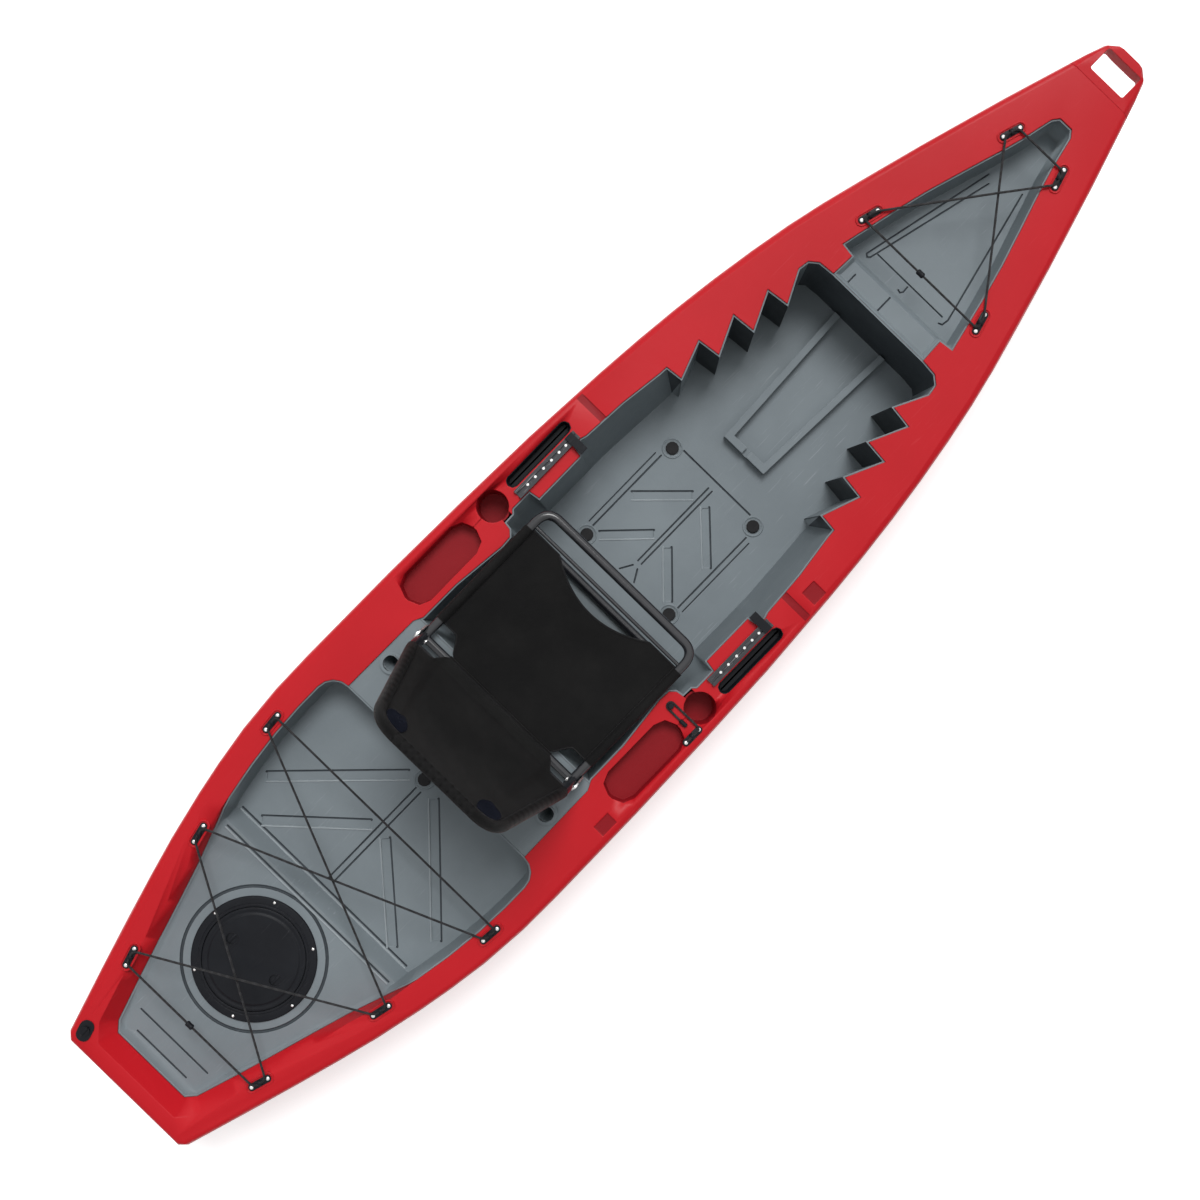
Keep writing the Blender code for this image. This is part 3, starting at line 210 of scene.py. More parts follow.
# Edge wear and painted highlight: a lighter colour where the rounded normal leaves the flat one, broken up by noise
def makeEdgeGroup():
    group, given, out = newGroup("edgeWearAndHighlight", ["Radius", "Amount"], ["Mask", "Normal"])
    soft = addNode(group, "ShaderNodeBevel", {"Radius": given["Radius"]}, samples=6).outputs["Normal"]
    flat = addNode(group, "ShaderNodeNewGeometry").outputs["Normal"]
    same = addNode(group, "ShaderNodeVectorMath", {0: soft, 1: flat}, operation="DOT_PRODUCT").outputs["Value"]
    place = addNode(group, "ShaderNodeTexCoord").outputs["Object"]
    broken = rangeNode(group, noiseNode(group, place, 38.0, 3.0), 0.40, 0.62)
    wearAndHighlight = mathNode(group, "MULTIPLY", rangeNode(group, same, 0.995, 0.86), broken)
    group.links.new(mathNode(group, "MULTIPLY", wearAndHighlight, given["Amount"], use_clamp=True), out["Mask"])
    group.links.new(soft, out["Normal"])
    return group


def uvParts(group):
    uv = addNode(group, "ShaderNodeUVMap").outputs["UV"]
    return addNode(group, "ShaderNodeSeparateXYZ", {"Vector": uv}).outputs


# Woven cloth on the piece's own UV map, in metres: warp and weft pass over each other
def makeWeaveGroup():
    group, given, out = newGroup("wovenMesh", ["Pitch", "Warp Colour", "Weft Colour", "Gap Colour"],
                                 ["Colour", "Height", "Roughness"])
    spot = uvParts(group)
    waves = []
    for axis in ("X", "Y"):
        thread = mathNode(group, "DIVIDE", spot[axis], given["Pitch"])
        waves.append(mathNode(group, "SINE", mathNode(group, "MULTIPLY", thread, math.pi)))
    both = mathNode(group, "MULTIPLY", *waves)
    over = rangeNode(group, both, -0.15, 0.15)
    yarn = mixNode(group, over, given["Warp Colour"], given["Weft Colour"])
    raised = mathNode(group, "ABSOLUTE", both)
    hole = rangeNode(group, raised, 0.16, 0.04)
    group.links.new(mixNode(group, hole, yarn, given["Gap Colour"]), out["Colour"])
    group.links.new(raised, out["Height"])
    group.links.new(rangeNode(group, over, 0.0, 1.0, min=0.42, max=0.62), out["Roughness"])
    return group


# Braided sheath on a cord's UV map: two helices crossing, with a fleck in one strand
def makeBraidGroup():
    group, given, out = newGroup("braidedSheath", ["Strands", "Pitch", "Colour", "Fleck Colour"],
                                 ["Colour", "Height"])
    spot = uvParts(group)
    along = mathNode(group, "DIVIDE", spot["Y"], given["Pitch"])
    around = mathNode(group, "MULTIPLY", spot["X"], given["Strands"])
    waves = []
    for sign in ("ADD", "SUBTRACT"):
        turn = mathNode(group, "MULTIPLY", mathNode(group, sign, around, along), 2 * math.pi)
        waves.append(mathNode(group, "SINE", turn))
    group.links.new(mathNode(group, "MAXIMUM", *waves), out["Height"])
    mask = rangeNode(group, mathNode(group, "MULTIPLY", *waves), 0.2, 0.8)
    group.links.new(mixNode(group, mask, given["Colour"], given["Fleck Colour"]), out["Colour"])
    return group


plasticGroup = makePlasticGroup()
edgeGroup = makeEdgeGroup()
weaveGroup = makeWeaveGroup()
braidGroup = makeBraidGroup()


# Materials

def newMaterial(name, group, values, settings):
    material = bpy.data.materials.new(name)
    material.use_nodes = True
    tree = material.node_tree
    shader = tree.nodes["Principled BSDF"]
    for key, value in settings.items():
        shader.inputs[key].default_value = value
    return material, tree, shader, addNode(tree, "ShaderNodeGroup", values, node_tree=group).outputs


def addBump(tree, shader, height, distance, normal=None):
    values = {"Strength": 1.0, "Distance": distance, "Height": height}
    if normal is not None:
        values["Normal"] = normal
    tree.links.new(addNode(tree, "ShaderNodeBump", values).outputs["Normal"], shader.inputs["Normal"])


# Cloud: colour, scale, amount. Scuff: colour, amount. Grain: scale, depth, bump height. Rough: least, spread.
# Edge wear and painted highlight: colour, radius, amount
def moulded(name, colour, cloud, scuff, grain, rough, edge, specular=0.5, metallic=0.0, coat=0.0):
    material, tree, shader, body = newMaterial(
        name, plasticGroup,
        {"Colour": (*colour, 1), "Cloud Colour": (*cloud[0], 1), "Scuff Colour": (*scuff[0], 1),
         "Cloud Scale": cloud[1], "Cloud Amount": cloud[2], "Scuff Amount": scuff[1], "Grain Scale": grain[0],
         "Grain Depth": grain[1], "Roughness": rough[0], "Roughness Spread": rough[1]},
        {"Specular IOR Level": specular, "Metallic": metallic})
    edgeColour, radius, amount = edge
    wearAndHighlight = addNode(tree, "ShaderNodeGroup", {"Radius": radius, "Amount": amount}, node_tree=edgeGroup).outputs
    tree.links.new(mixNode(tree, wearAndHighlight["Mask"], body["Colour"], (*edgeColour, 1)), shader.inputs["Base Color"])
    tree.links.new(body["Roughness"], shader.inputs["Roughness"])
    if coat:
        shader.inputs["Coat Weight"].default_value = coat
        shader.inputs["Coat Roughness"].default_value = 0.12
    addBump(tree, shader, body["Height"], grain[2], wearAndHighlight["Normal"])
    return material


redPlastic = moulded(
    "redPlastic", (0.515, 0.010, 0.017), cloud=((0.44, 0.007, 0.012), 2.6, 0.55), scuff=((0.66, 0.10, 0.11), 0.16),
    grain=(620, 0.35, 0.00028), rough=(0.30, 0.14), edge=((0.70, 0.07, 0.08), 0.0028, 0.22), specular=0.16)
# darker red for the faces low in the deck's recesses, as painted shade
redPaintedShade = moulded(
    "redPaintedShade", (0.250, 0.0060, 0.0110), cloud=((0.205, 0.0045, 0.0085), 5.0, 0.55),
    scuff=((0.45, 0.06, 0.07), 0.16), grain=(420, 0.8, 0.0004), rough=(0.40, 0.14),
    edge=((0.55, 0.04, 0.05), 0.0024, 0.25), specular=0.14)
# lighter grey for the ribs beside the channels, as painted highlight
greyPaintedHighlight = moulded(
    "greyPaintedHighlight", (0.290, 0.325, 0.345), cloud=((0.215, 0.245, 0.262), 7.0, 0.7), scuff=((0.42, 0.45, 0.47), 0.3),
    grain=(520, 0.6, 0.00035), rough=(0.40, 0.16), edge=((0.42, 0.45, 0.47), 0.0012, 0.3), specular=0.25)
greyPlastic = moulded(
    "greyPlastic", (0.190, 0.222, 0.240), cloud=((0.145, 0.170, 0.186), 3.4, 0.6), scuff=((0.36, 0.39, 0.41), 0.30),
    grain=(520, 0.6, 0.00035), rough=(0.42, 0.16), edge=((0.40, 0.43, 0.45), 0.0020, 0.45), specular=0.22)
# dark grey laid in the grooves and on walls that face aft, as painted shade
greyPaintedShade = moulded(
    "greyPaintedShade", (0.050, 0.060, 0.068), cloud=((0.030, 0.036, 0.042), 9.0, 0.6), scuff=((0.20, 0.22, 0.23), 0.15),
    grain=(520, 0.6, 0.00035), rough=(0.55, 0.16), edge=((0.24, 0.27, 0.29), 0.0008, 0.2), specular=0.15)
blackPlastic = moulded(
    "blackPlastic", (0.0055, 0.0062, 0.0085), cloud=((0.010, 0.0115, 0.0145), 9.0, 0.6),
    scuff=((0.10, 0.10, 0.11), 0.25), grain=(900, 0.6, 0.00022), rough=(0.34, 0.14),
    edge=((0.06, 0.06, 0.065), 0.0010, 0.5), specular=0.12)
blackRubber = moulded(
    "blackRubber", (0.011, 0.011, 0.012), cloud=((0.026, 0.026, 0.027), 14.0, 0.7), scuff=((0.07, 0.07, 0.07), 0.3),
    grain=(1300, 0.9, 0.0003), rough=(0.62, 0.16), edge=((0.05, 0.05, 0.05), 0.0010, 0.4), specular=0.15)
trackMetal = moulded(
    "trackMetal", (0.030, 0.031, 0.034), cloud=((0.045, 0.046, 0.050), 12.0, 0.5), scuff=((0.45, 0.45, 0.46), 0.35),
    grain=(1500, 0.5, 0.0001), rough=(0.28, 0.12), edge=((0.40, 0.40, 0.41), 0.0007, 0.9), metallic=0.8)
seatPaint = moulded(
    "seatPaint", (0.014, 0.015, 0.018), cloud=((0.020, 0.021, 0.025), 10.0, 0.5), scuff=((0.25, 0.25, 0.26), 0.22),
    grain=(420, 0.4, 0.0001), rough=(0.16, 0.10), edge=((0.16, 0.16, 0.17), 0.0008, 0.4), specular=0.35, coat=0.25)
steelMetal = moulded(
    "steelMetal", (0.62, 0.62, 0.61), cloud=((0.48, 0.48, 0.48), 60.0, 0.6), scuff=((0.22, 0.21, 0.20), 0.4),
    grain=(1800, 0.4, 0.00005), rough=(0.20, 0.18), edge=((0.80, 0.80, 0.79), 0.0004, 0.4), metallic=1.0)
patchVinyl = moulded(
    "patchVinyl", (0.006, 0.0075, 0.013), cloud=((0.011, 0.0125, 0.020), 16.0, 0.6), scuff=((0.10, 0.10, 0.11), 0.2),
    grain=(700, 0.5, 0.0003), rough=(0.20, 0.12), edge=((0.05, 0.05, 0.055), 0.0010, 0.3), specular=0.18)
foamWhite = moulded(
    "foamWhite", (0.74, 0.75, 0.74), cloud=((0.62, 0.63, 0.61), 120.0, 0.8), scuff=((0.50, 0.50, 0.48), 0.2),
    grain=(260, 1.0, 0.0006), rough=(0.75, 0.15), edge=((0.60, 0.60, 0.58), 0.0015, 0.3), specular=0.2)


def clothMaterial(name, pitch, warp, weft, gap, bump, roughness=None, sheen=0.03):
    material, tree, shader, cloth = newMaterial(
        name, weaveGroup,
        {"Pitch": pitch, "Warp Colour": (*warp, 1), "Weft Colour": (*weft, 1), "Gap Colour": (*gap, 1)},
        {"Specular IOR Level": 0.07, "Sheen Weight": sheen, "Sheen Roughness": 0.4})
    place = addNode(tree, "ShaderNodeTexCoord").outputs["Object"]
    dust = rangeNode(tree, noiseNode(tree, place, 7.0, 4.0, 0.6), 0.42, 0.72, max=0.35)
    dusty = mixNode(tree, dust, cloth["Colour"], (0.017, 0.0165, 0.0160, 1))
    tree.links.new(dusty, shader.inputs["Base Color"])
    if roughness:
        shader.inputs["Roughness"].default_value = roughness
    else:
        tree.links.new(cloth["Roughness"], shader.inputs["Roughness"])
    addBump(tree, shader, cloth["Height"], bump)
    return material


seatCloth = clothMaterial(
    "seatCloth", 0.0022, warp=(0.0045, 0.0045, 0.0050), weft=(0.0085, 0.0083, 0.0082), gap=(0.0015, 0.0015, 0.0015),
    bump=0.0005)
seatWebbing = clothMaterial(
    "seatWebbing", 0.0011, warp=(0.012, 0.012, 0.013), weft=(0.022, 0.022, 0.023), gap=(0.003, 0.003, 0.003),
    bump=0.0003, roughness=0.5, sheen=0.05)


def makeCordMaterial():
    material, tree, shader, braid = newMaterial(
        "bungeeSheath", braidGroup,
        {"Strands": 6.0, "Pitch": 0.009, "Colour": (0.010, 0.010, 0.011, 1), "Fleck Colour": (0.035, 0.035, 0.038, 1)},
        {"Roughness": 0.6, "Specular IOR Level": 0.25, "Sheen Weight": 0.05})
    tree.links.new(braid["Colour"], shader.inputs["Base Color"])
    addBump(tree, shader, braid["Height"], 0.0004)
    return material


bungeeSheath = makeCordMaterial()
print("stage: materials ready")


# Shaping helpers

def unique(items):
    return list(dict.fromkeys(items))


def smoothed(made, angle):
    for polygon in made.data.polygons:
        polygon.use_smooth = True
    made.data.set_sharp_from_angle(angle=math.radians(angle))
    return made


def meshObject(name, bm, material, angle=35):
    mesh = bpy.data.meshes.new(name)
    bm.to_mesh(mesh)
    bm.free()
    made = bpy.data.objects.new(name, mesh)
    scene.collection.objects.link(made)
    if material:
        mesh.materials.append(material)
    return smoothed(made, angle)


def belongs(made, body, slot, *stands):
    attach(made, body)
    if stands:
        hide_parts(*stands)


def pieceName(node):
    first, *others = node.split("_")
    return first + "".join(word.capitalize() for word in others)


# A CAD node's shape as one clean bmesh, its flat triangles joined into larger faces
def nodeShape(name):
    bm = bmesh.new()
    bm.from_mesh(nodes[name].data)
    bmesh.ops.remove_doubles(bm, verts=bm.verts, dist=0.00003)
    bmesh.ops.dissolve_limit(bm, angle_limit=math.radians(0.6), verts=bm.verts, edges=bm.edges)
    return bm


# Keeps wide flat faces flat where they meet a rounded edge
def evenShading(made):
    weigh = made.modifiers.new("evenShading", "WEIGHTED_NORMAL")
    weigh.mode = "FACE_AREA_WITH_ANGLE"
    weigh.weight = 90
    weigh.keep_sharp = True
    return made


# Takes out faces that lie twice on the same points, which a cut can leave, and loose edges
def closeShell(made, split=False):
    bm = bmesh.new()
    bm.from_mesh(made.data)
    bmesh.ops.remove_doubles(bm, verts=bm.verts, dist=0.00004)
    if split:
        bmesh.ops.triangulate(bm, faces=bm.faces)
    groups = {}
    for face in bm.faces:
        groups.setdefault(frozenset(face.verts), []).append(face)
    twins = [face for group in groups.values() if len(group) > 1 for face in group]
    bmesh.ops.delete(bm, geom=twins, context="FACES_ONLY")
    bmesh.ops.delete(bm, geom=[edge for edge in bm.edges if not edge.link_faces], context="EDGES")
    bm.to_mesh(made.data)
    bm.free()
    return evenShading(made)


# Applies live modifiers, so that the finished mesh is the piece's own
def settle(made, angle=35):
    bpy.context.view_layer.update()
    graph = bpy.context.evaluated_depsgraph_get()
    mesh = bpy.data.meshes.new_from_object(made.evaluated_get(graph))
    made.modifiers.clear()
    made.data = mesh
    return smoothed(made, angle)


# Cuts or joins, and gives the faces that come from the cutter its own finish if it has one
def carve(made, cutters, operation="DIFFERENCE", material=None):
    guide = meshObject("carvingGuide", cutters, material)
    modifier = made.modifiers.new("carve", "BOOLEAN")
    modifier.operation = operation
    modifier.solver = "EXACT"
    if material:
        modifier.material_mode = "TRANSFER"
    modifier.use_self = True
    modifier.object = guide
    settle(made)
    bpy.data.objects.remove(guide, do_unlink=True)
    bm = bmesh.new()
    bm.from_mesh(made.data)
    bmesh.ops.remove_doubles(bm, verts=bm.verts, dist=0.00002)
    bmesh.ops.dissolve_limit(bm, angle_limit=math.radians(0.4), verts=bm.verts, edges=bm.edges,
                             delimit={"MATERIAL"})
    bm.to_mesh(made.data)
    bm.free()


def toward(direction):
    return Vector(direction).to_track_quat("Z", "X").to_matrix().to_4x4()


# A round bar with domed ends from one point to another
def addRoundBar(bm, start, end, radius, sides=12):
    start, end = Vector(start), Vector(end)
    verts = bmesh.ops.create_uvsphere(bm, u_segments=sides, v_segments=7, radius=radius)["verts"]
    bmesh.ops.translate(bm, verts=[v for v in verts if v.co.z > 0], vec=(0, 0, (end - start).length))
    bmesh.ops.transform(bm, matrix=Matrix.Translation(start) @ toward(end - start), verts=verts)


# A moulded groove: a wide round bar sunk so that only its lowest part cuts
def addGroove(bm, start, end, halfWidth, depth):
    radius = (halfWidth ** 2 + depth ** 2) / (2 * depth)
    lift = Vector((0, 0, radius - depth))
    addRoundBar(bm, Vector(start) + lift, Vector(end) + lift, radius, 10)


# Each line of a plan at a height, to port and then to starboard
def mirrored(lines, height):
    return [((ax, side * ay, height), (bx, side * by, height)) for (ax, ay), (bx, by) in lines for side in (1, -1)]


# A line moved aside within the floor
def aside(start, end, shift):
    start, end = Vector(start), Vector(end)
    along = (end - start).normalized()
    move = Vector((abs(along.y), math.copysign(along.x, start.y), 0)) * shift
    return start + move, end + move


# A moulded channel with a flat floor, sloping sides and rounded ends
def addChannel(bm, start, end, halfWidth, depth):
    start, end = Vector(start), Vector(end)
    length = (end - start).length
    slope = 0.7 * depth
    above = 0.012
    before = set(bm.verts)
    verts = bmesh.ops.create_cube(bm, size=1.0)["verts"]
    bmesh.ops.scale(bm, vec=(length, 2 * halfWidth, depth + above), verts=verts)
    bmesh.ops.translate(bm, vec=(0, 0, (above - depth) / 2), verts=verts)
    upright = [e for e in unique(e for v in verts for e in v.link_edges)
               if abs(e.verts[0].co.z - e.verts[1].co.z) > 0.001]
    bmesh.ops.bevel(bm, geom=upright, offset=0.006, segments=4, profile=0.5, affect="EDGES", material=-1)
    made = [v for v in bm.verts if v not in before]
    low = [v for v in made if v.co.z < 0]
    bmesh.ops.scale(bm, vec=(1 - 2 * slope / length, 1 - slope / halfWidth, 1), verts=low)
    turn = Matrix.Rotation(math.atan2(end.y - start.y, end.x - start.x), 4, "Z")
    bmesh.ops.transform(bm, matrix=Matrix.Translation((start + end) / 2) @ turn, verts=made)


# Low ribs along one side of the channels, in a lighter grey as painted highlight
def joinRibs(made, lines, floor, shift, crossBars=()):
    radius, rise = 0.0027, 0.0018
    bm = bmesh.new()
    for start, end in mirrored(lines, floor + rise - radius):
        addRoundBar(bm, *aside(start, end, -shift), radius)
    for start, end in crossBars:
        addRoundBar(bm, start, end, radius)
    carve(made, bm, "UNION", greyPaintedHighlight)


# A low raised ring round each drain
def joinCollars(made, places, height):
    inner, outer, rise, sunk = 0.0235, 0.0285, 0.0022, -0.0015
    bend = 0.35 * (outer - inner)
    bm = bmesh.new()
    for x, y in places:
        addTurned(bm, [(inner, sunk), (inner, 0.6 * rise), (inner + bend, rise), (outer - bend, rise),
                       (outer, 0.4 * rise), (outer, sunk)], 32, Matrix.Translation((x, y, height)), True)
    carve(made, bm, "UNION")


# An open box with rounded corners and one wall thickness, its walls drawn in toward the floor
def addTray(bm, low, high, top, bottom, corner, drawn, wall):
    def ring(inset, height, count=5):
        reach = corner - 0.3 * inset
        far, points = inset + reach, []
        for cx, cy, turn in ((high[0] - far, high[1] - far, 0), (low[0] + far, high[1] - far, 90),
                             (low[0] + far, low[1] + far, 180), (high[0] - far, low[1] + far, 270)):
            for i in range(count + 1):
                angle = math.radians(turn + 90 * i / count)
                points.append(bm.verts.new((cx + reach * math.cos(angle), cy + reach * math.sin(angle), height)))
        return points

    rings = [ring(drawn, bottom), ring(0, top), ring(wall, top), ring(wall + drawn, bottom + wall)]
    for first, second in zip(rings, rings[1:]):
        for i in range(len(first)):
            j = (i + 1) % len(first)
            bm.faces.new((first[i], first[j], second[j], second[i]))
    bm.faces.new(rings[0])
    bm.faces.new(rings[-1])
    bmesh.ops.recalc_face_normals(bm, faces=bm.faces)


def addCylinder(bm, radius, low, high, sides, matrix, taper=1.0):
    verts = bmesh.ops.create_cone(bm, cap_ends=True, segments=sides, radius1=radius, radius2=radius * taper,
                                  depth=high - low)["verts"]
    bmesh.ops.translate(bm, verts=verts, vec=(0, 0, (low + high) / 2))
    bmesh.ops.transform(bm, matrix=matrix, verts=verts)


def addBox(bm, low, high, matrix=None, bevel=0.0, segments=2):
    verts = bmesh.ops.create_cube(bm, size=1.0)["verts"]
    bmesh.ops.scale(bm, vec=Vector(high) - Vector(low), verts=verts)
    bmesh.ops.translate(bm, vec=(Vector(high) + Vector(low)) / 2, verts=verts)
    if bevel:
        made = bmesh.ops.bevel(bm, geom=unique(e for v in verts for e in v.link_edges), offset=bevel,
                               segments=segments, profile=0.5, affect="EDGES", material=-1, clamp_overlap=True)
        verts = unique([v for f in made["faces"] for v in f.verts] + [v for v in verts if v.is_valid])
    if matrix:
        bmesh.ops.transform(bm, matrix=matrix, verts=verts)


# A turned shape: its outline in radius and height is spun about the upright axis
def addTurned(bm, outline, steps, matrix=None, closed=False):
    before = set(bm.verts)
    verts = [bm.verts.new((radius, 0, height)) for radius, height in outline]
    pairs = list(zip(verts, verts[1:])) + ([(verts[-1], verts[0])] if closed else [])
    edges = [bm.edges.new(pair) for pair in pairs]
    bmesh.ops.spin(bm, geom=verts + edges, cent=(0, 0, 0), axis=(0, 0, 1), angle=2 * math.pi, steps=steps,
                   use_merge=True)
    bmesh.ops.remove_doubles(bm, verts=[v for v in bm.verts if v not in before], dist=0.00001)
    made = [v for v in bm.verts if v not in before]
    bmesh.ops.recalc_face_normals(bm, faces=unique(f for v in made for f in v.link_faces))
    if matrix:
        bmesh.ops.transform(bm, matrix=matrix, verts=made)
    return made


# A dished screw head with a recess pressed into it
def addScrew(bm, matrix, radius, height):
    outline = [(0, height), (0.45 * radius, height), (0.8 * radius, 0.8 * height), (radius, 0.3 * height),
               (radius, -0.0004), (0, -0.0004)]
    made = addTurned(bm, outline, 16)
    top = [f for f in unique(f for v in made for f in v.link_faces)
           if all(abs(v.co.z - height) < 1e-6 for v in f.verts)]
    pressed = bmesh.ops.extrude_face_region(bm, geom=top)
    sunk = [g for g in pressed["geom"] if isinstance(g, bmesh.types.BMVert)]
    bmesh.ops.scale(bm, vec=(0.72, 0.72, 1), verts=sunk)
    bmesh.ops.translate(bm, vec=(0, 0, -0.6 * height), verts=sunk)
    bmesh.ops.delete(bm, geom=top, context="FACES")
    bmesh.ops.transform(bm, matrix=matrix, verts=[v for v in made if v.is_valid] + sunk)


# A smooth tube along a route of points, with its UV map in metres
def tubePiece(name, route, radius, material, sides=12, around=1.0):
    curve = bpy.data.curves.new(name, "CURVE")
    curve.dimensions = "3D"
    curve.bevel_depth = radius
    curve.bevel_resolution = sides // 2 - 2
    curve.use_fill_caps = True
    spline = curve.splines.new("POLY")
    spline.points.add(len(route) - 1)
    for point, spot in zip(spline.points, route):
        point.co = (*spot, 1)
    guide = bpy.data.objects.new(name + "Guide", curve)
    scene.collection.objects.link(guide)
    bpy.context.view_layer.update()
    graph = bpy.context.evaluated_depsgraph_get()
    mesh = bpy.data.meshes.new_from_object(guide.evaluated_get(graph))
    bpy.data.objects.remove(guide, do_unlink=True)
    length = sum((Vector(b) - Vector(a)).length for a, b in zip(route, route[1:]))
    bm = bmesh.new()
    bm.from_mesh(mesh)
    layer = bm.loops.layers.uv.active
    if layer:
        for face in bm.faces:
            for loop in face.loops:
                loop[layer].uv = (loop[layer].uv.y * around, loop[layer].uv.x * length)
    bmesh.ops.remove_doubles(bm, verts=bm.verts, dist=0.00001)
    bmesh.ops.recalc_face_normals(bm, faces=bm.faces)
    return meshObject(name, bm, material, 60)


# A route with each corner rounded by a short curve
def roundedRoute(points, reach, count):
    points = [Vector(p) for p in points]
    route = [points[0]]
    for before, corner, after in zip(points, points[1:], points[2:]):
        back = min(reach, 0.45 * (before - corner).length, 0.45 * (after - corner).length)
        start = corner + (before - corner).normalized() * back
        end = corner + (after - corner).normalized() * back
        for i in range(count + 1):
            t = i / count
            route.append(start * (1 - t) ** 2 + corner * 2 * t * (1 - t) + end * t ** 2)
    route.append(points[-1])
    return route


# Cords first: elastic deck cords held by the pad eyes, and the paddle keeper's loop
# A deck cord is drawn from its bead to the middle and comes back mirrored, over or under itself where it crosses

cords = {
    "radius": 0.003,
    "deckBend": 0.012,
    "keeperBend": 0.002,
    "stern": [(-1.5821, 0.0113, 0.3148), (-1.5821, 0.2258, 0.3148), (-1.5477, 0.2362, 0.3142),
              (-1.4153, 0.0, 0.3163, 0.3087), (-1.2355, -0.321, 0.3101), (-1.2004, -0.329, 0.3098),
              (-1.0635, 0.0, 0.3051, 0.3127), (-0.9019, 0.3885, 0.3078), (-0.866, 0.3915, 0.3077)],
    "bow": [(1.0883, 0.0113, 0.3351), (1.0883, 0.2008, 0.3351), (1.1229, 0.1912, 0.3373),
            (1.3657, 0.0, 0.3595, 0.3519), (1.4793, -0.0894, 0.3643), (1.5135, -0.0786, 0.3673)],
    "keeper": [(-0.176, -0.407, 0.3074), (-0.1372, -0.407, 0.3074), (-0.1312, -0.401, 0.3074),
               (-0.1312, -0.399, 0.3074), (-0.1312, -0.387, 0.3069), (-0.1312, -0.361, 0.3049),
               (-0.1312, -0.349, 0.3044), (-0.1312, -0.313, 0.3044), (-0.1325, -0.3081, 0.3044),
               (-0.1361, -0.3045, 0.3044), (-0.141, -0.3032, 0.3044), (-0.1459, -0.3045, 0.3044),
               (-0.1495, -0.3081, 0.3044), (-0.1508, -0.313, 0.3044), (-0.1508, -0.3557, 0.3044)],
    "beads": {"stern_bungee_bead": (-1.5821, 0.0, 0.3148), "bow_bungee_bead": (1.0883, 0.0, 0.3351)},
    "beadOutline": [(0, 0.0112), (0.0045, 0.0112), (0.0068, 0.0095), (0.0079, 0.0060), (0.0072, 0.0035)],
}


def mirroredRoute(half):
    return [point[:3] for point in half] + [(point[0], -point[1], point[-1]) for point in reversed(half)]


def makeCords():
    for name, route, bend, node in (
            ("sternCord", mirroredRoute(cords["stern"]), cords["deckBend"], "stern_bungee"),
            ("bowCord", mirroredRoute(cords["bow"]), cords["deckBend"], "bow_bungee"),
            ("paddleKeeperLoop", cords["keeper"], cords["keeperBend"], "paddle_keeper_cord")):
        cord = tubePiece(name, roundedRoute(route, bend, 4), cords["radius"], bungeeSheath)
        belongs(cord, "hull", "bungee_cord", node)
    upper = cords["beadOutline"]
    outline = upper + [(radius, -height) for radius, height in reversed(upper)]
    for node, spot in cords["beads"].items():
        bm = bmesh.new()
        addTurned(bm, outline, 24, Matrix.Translation(spot) @ Matrix.Rotation(math.radians(90), 4, "X"))
        belongs(meshObject(pieceName(node), bm, blackPlastic, 50), "hull", "black_plastic", node)


makeCords()
print("stage: cords laid")


# Mouldings: merged copies of the CAD shells, with the grooves and recesses of the real deck cut in

sternWell = {
    "platform": 0.242,
    "platformFront": -1.15,
    "floor": 0.200,
    "chevrons": [((-1.108, 0.240), (-0.915, 0.026)), ((-1.016, 0.312), (-0.752, 0.046))],
    "chevronHalf": 0.0140,
    "chevronDepth": 0.0026,
    "centreLines": [((-1.092, 0.0085), (-0.765, 0.0085))],
    "crossLines": [(-1.1690, 0.292), (-1.1180, 0.300)],
    "endLines": [(-1.715, 0.088), (-1.668, 0.120)],
    "lineDepth": 0.0034,
    "ringRadius": 0.190,
    "ringDepth": 0.0036,
    "ringWidth": 0.0046,
    "hatchX": -1.370,
    "drain": (-0.733, 0.008),
}


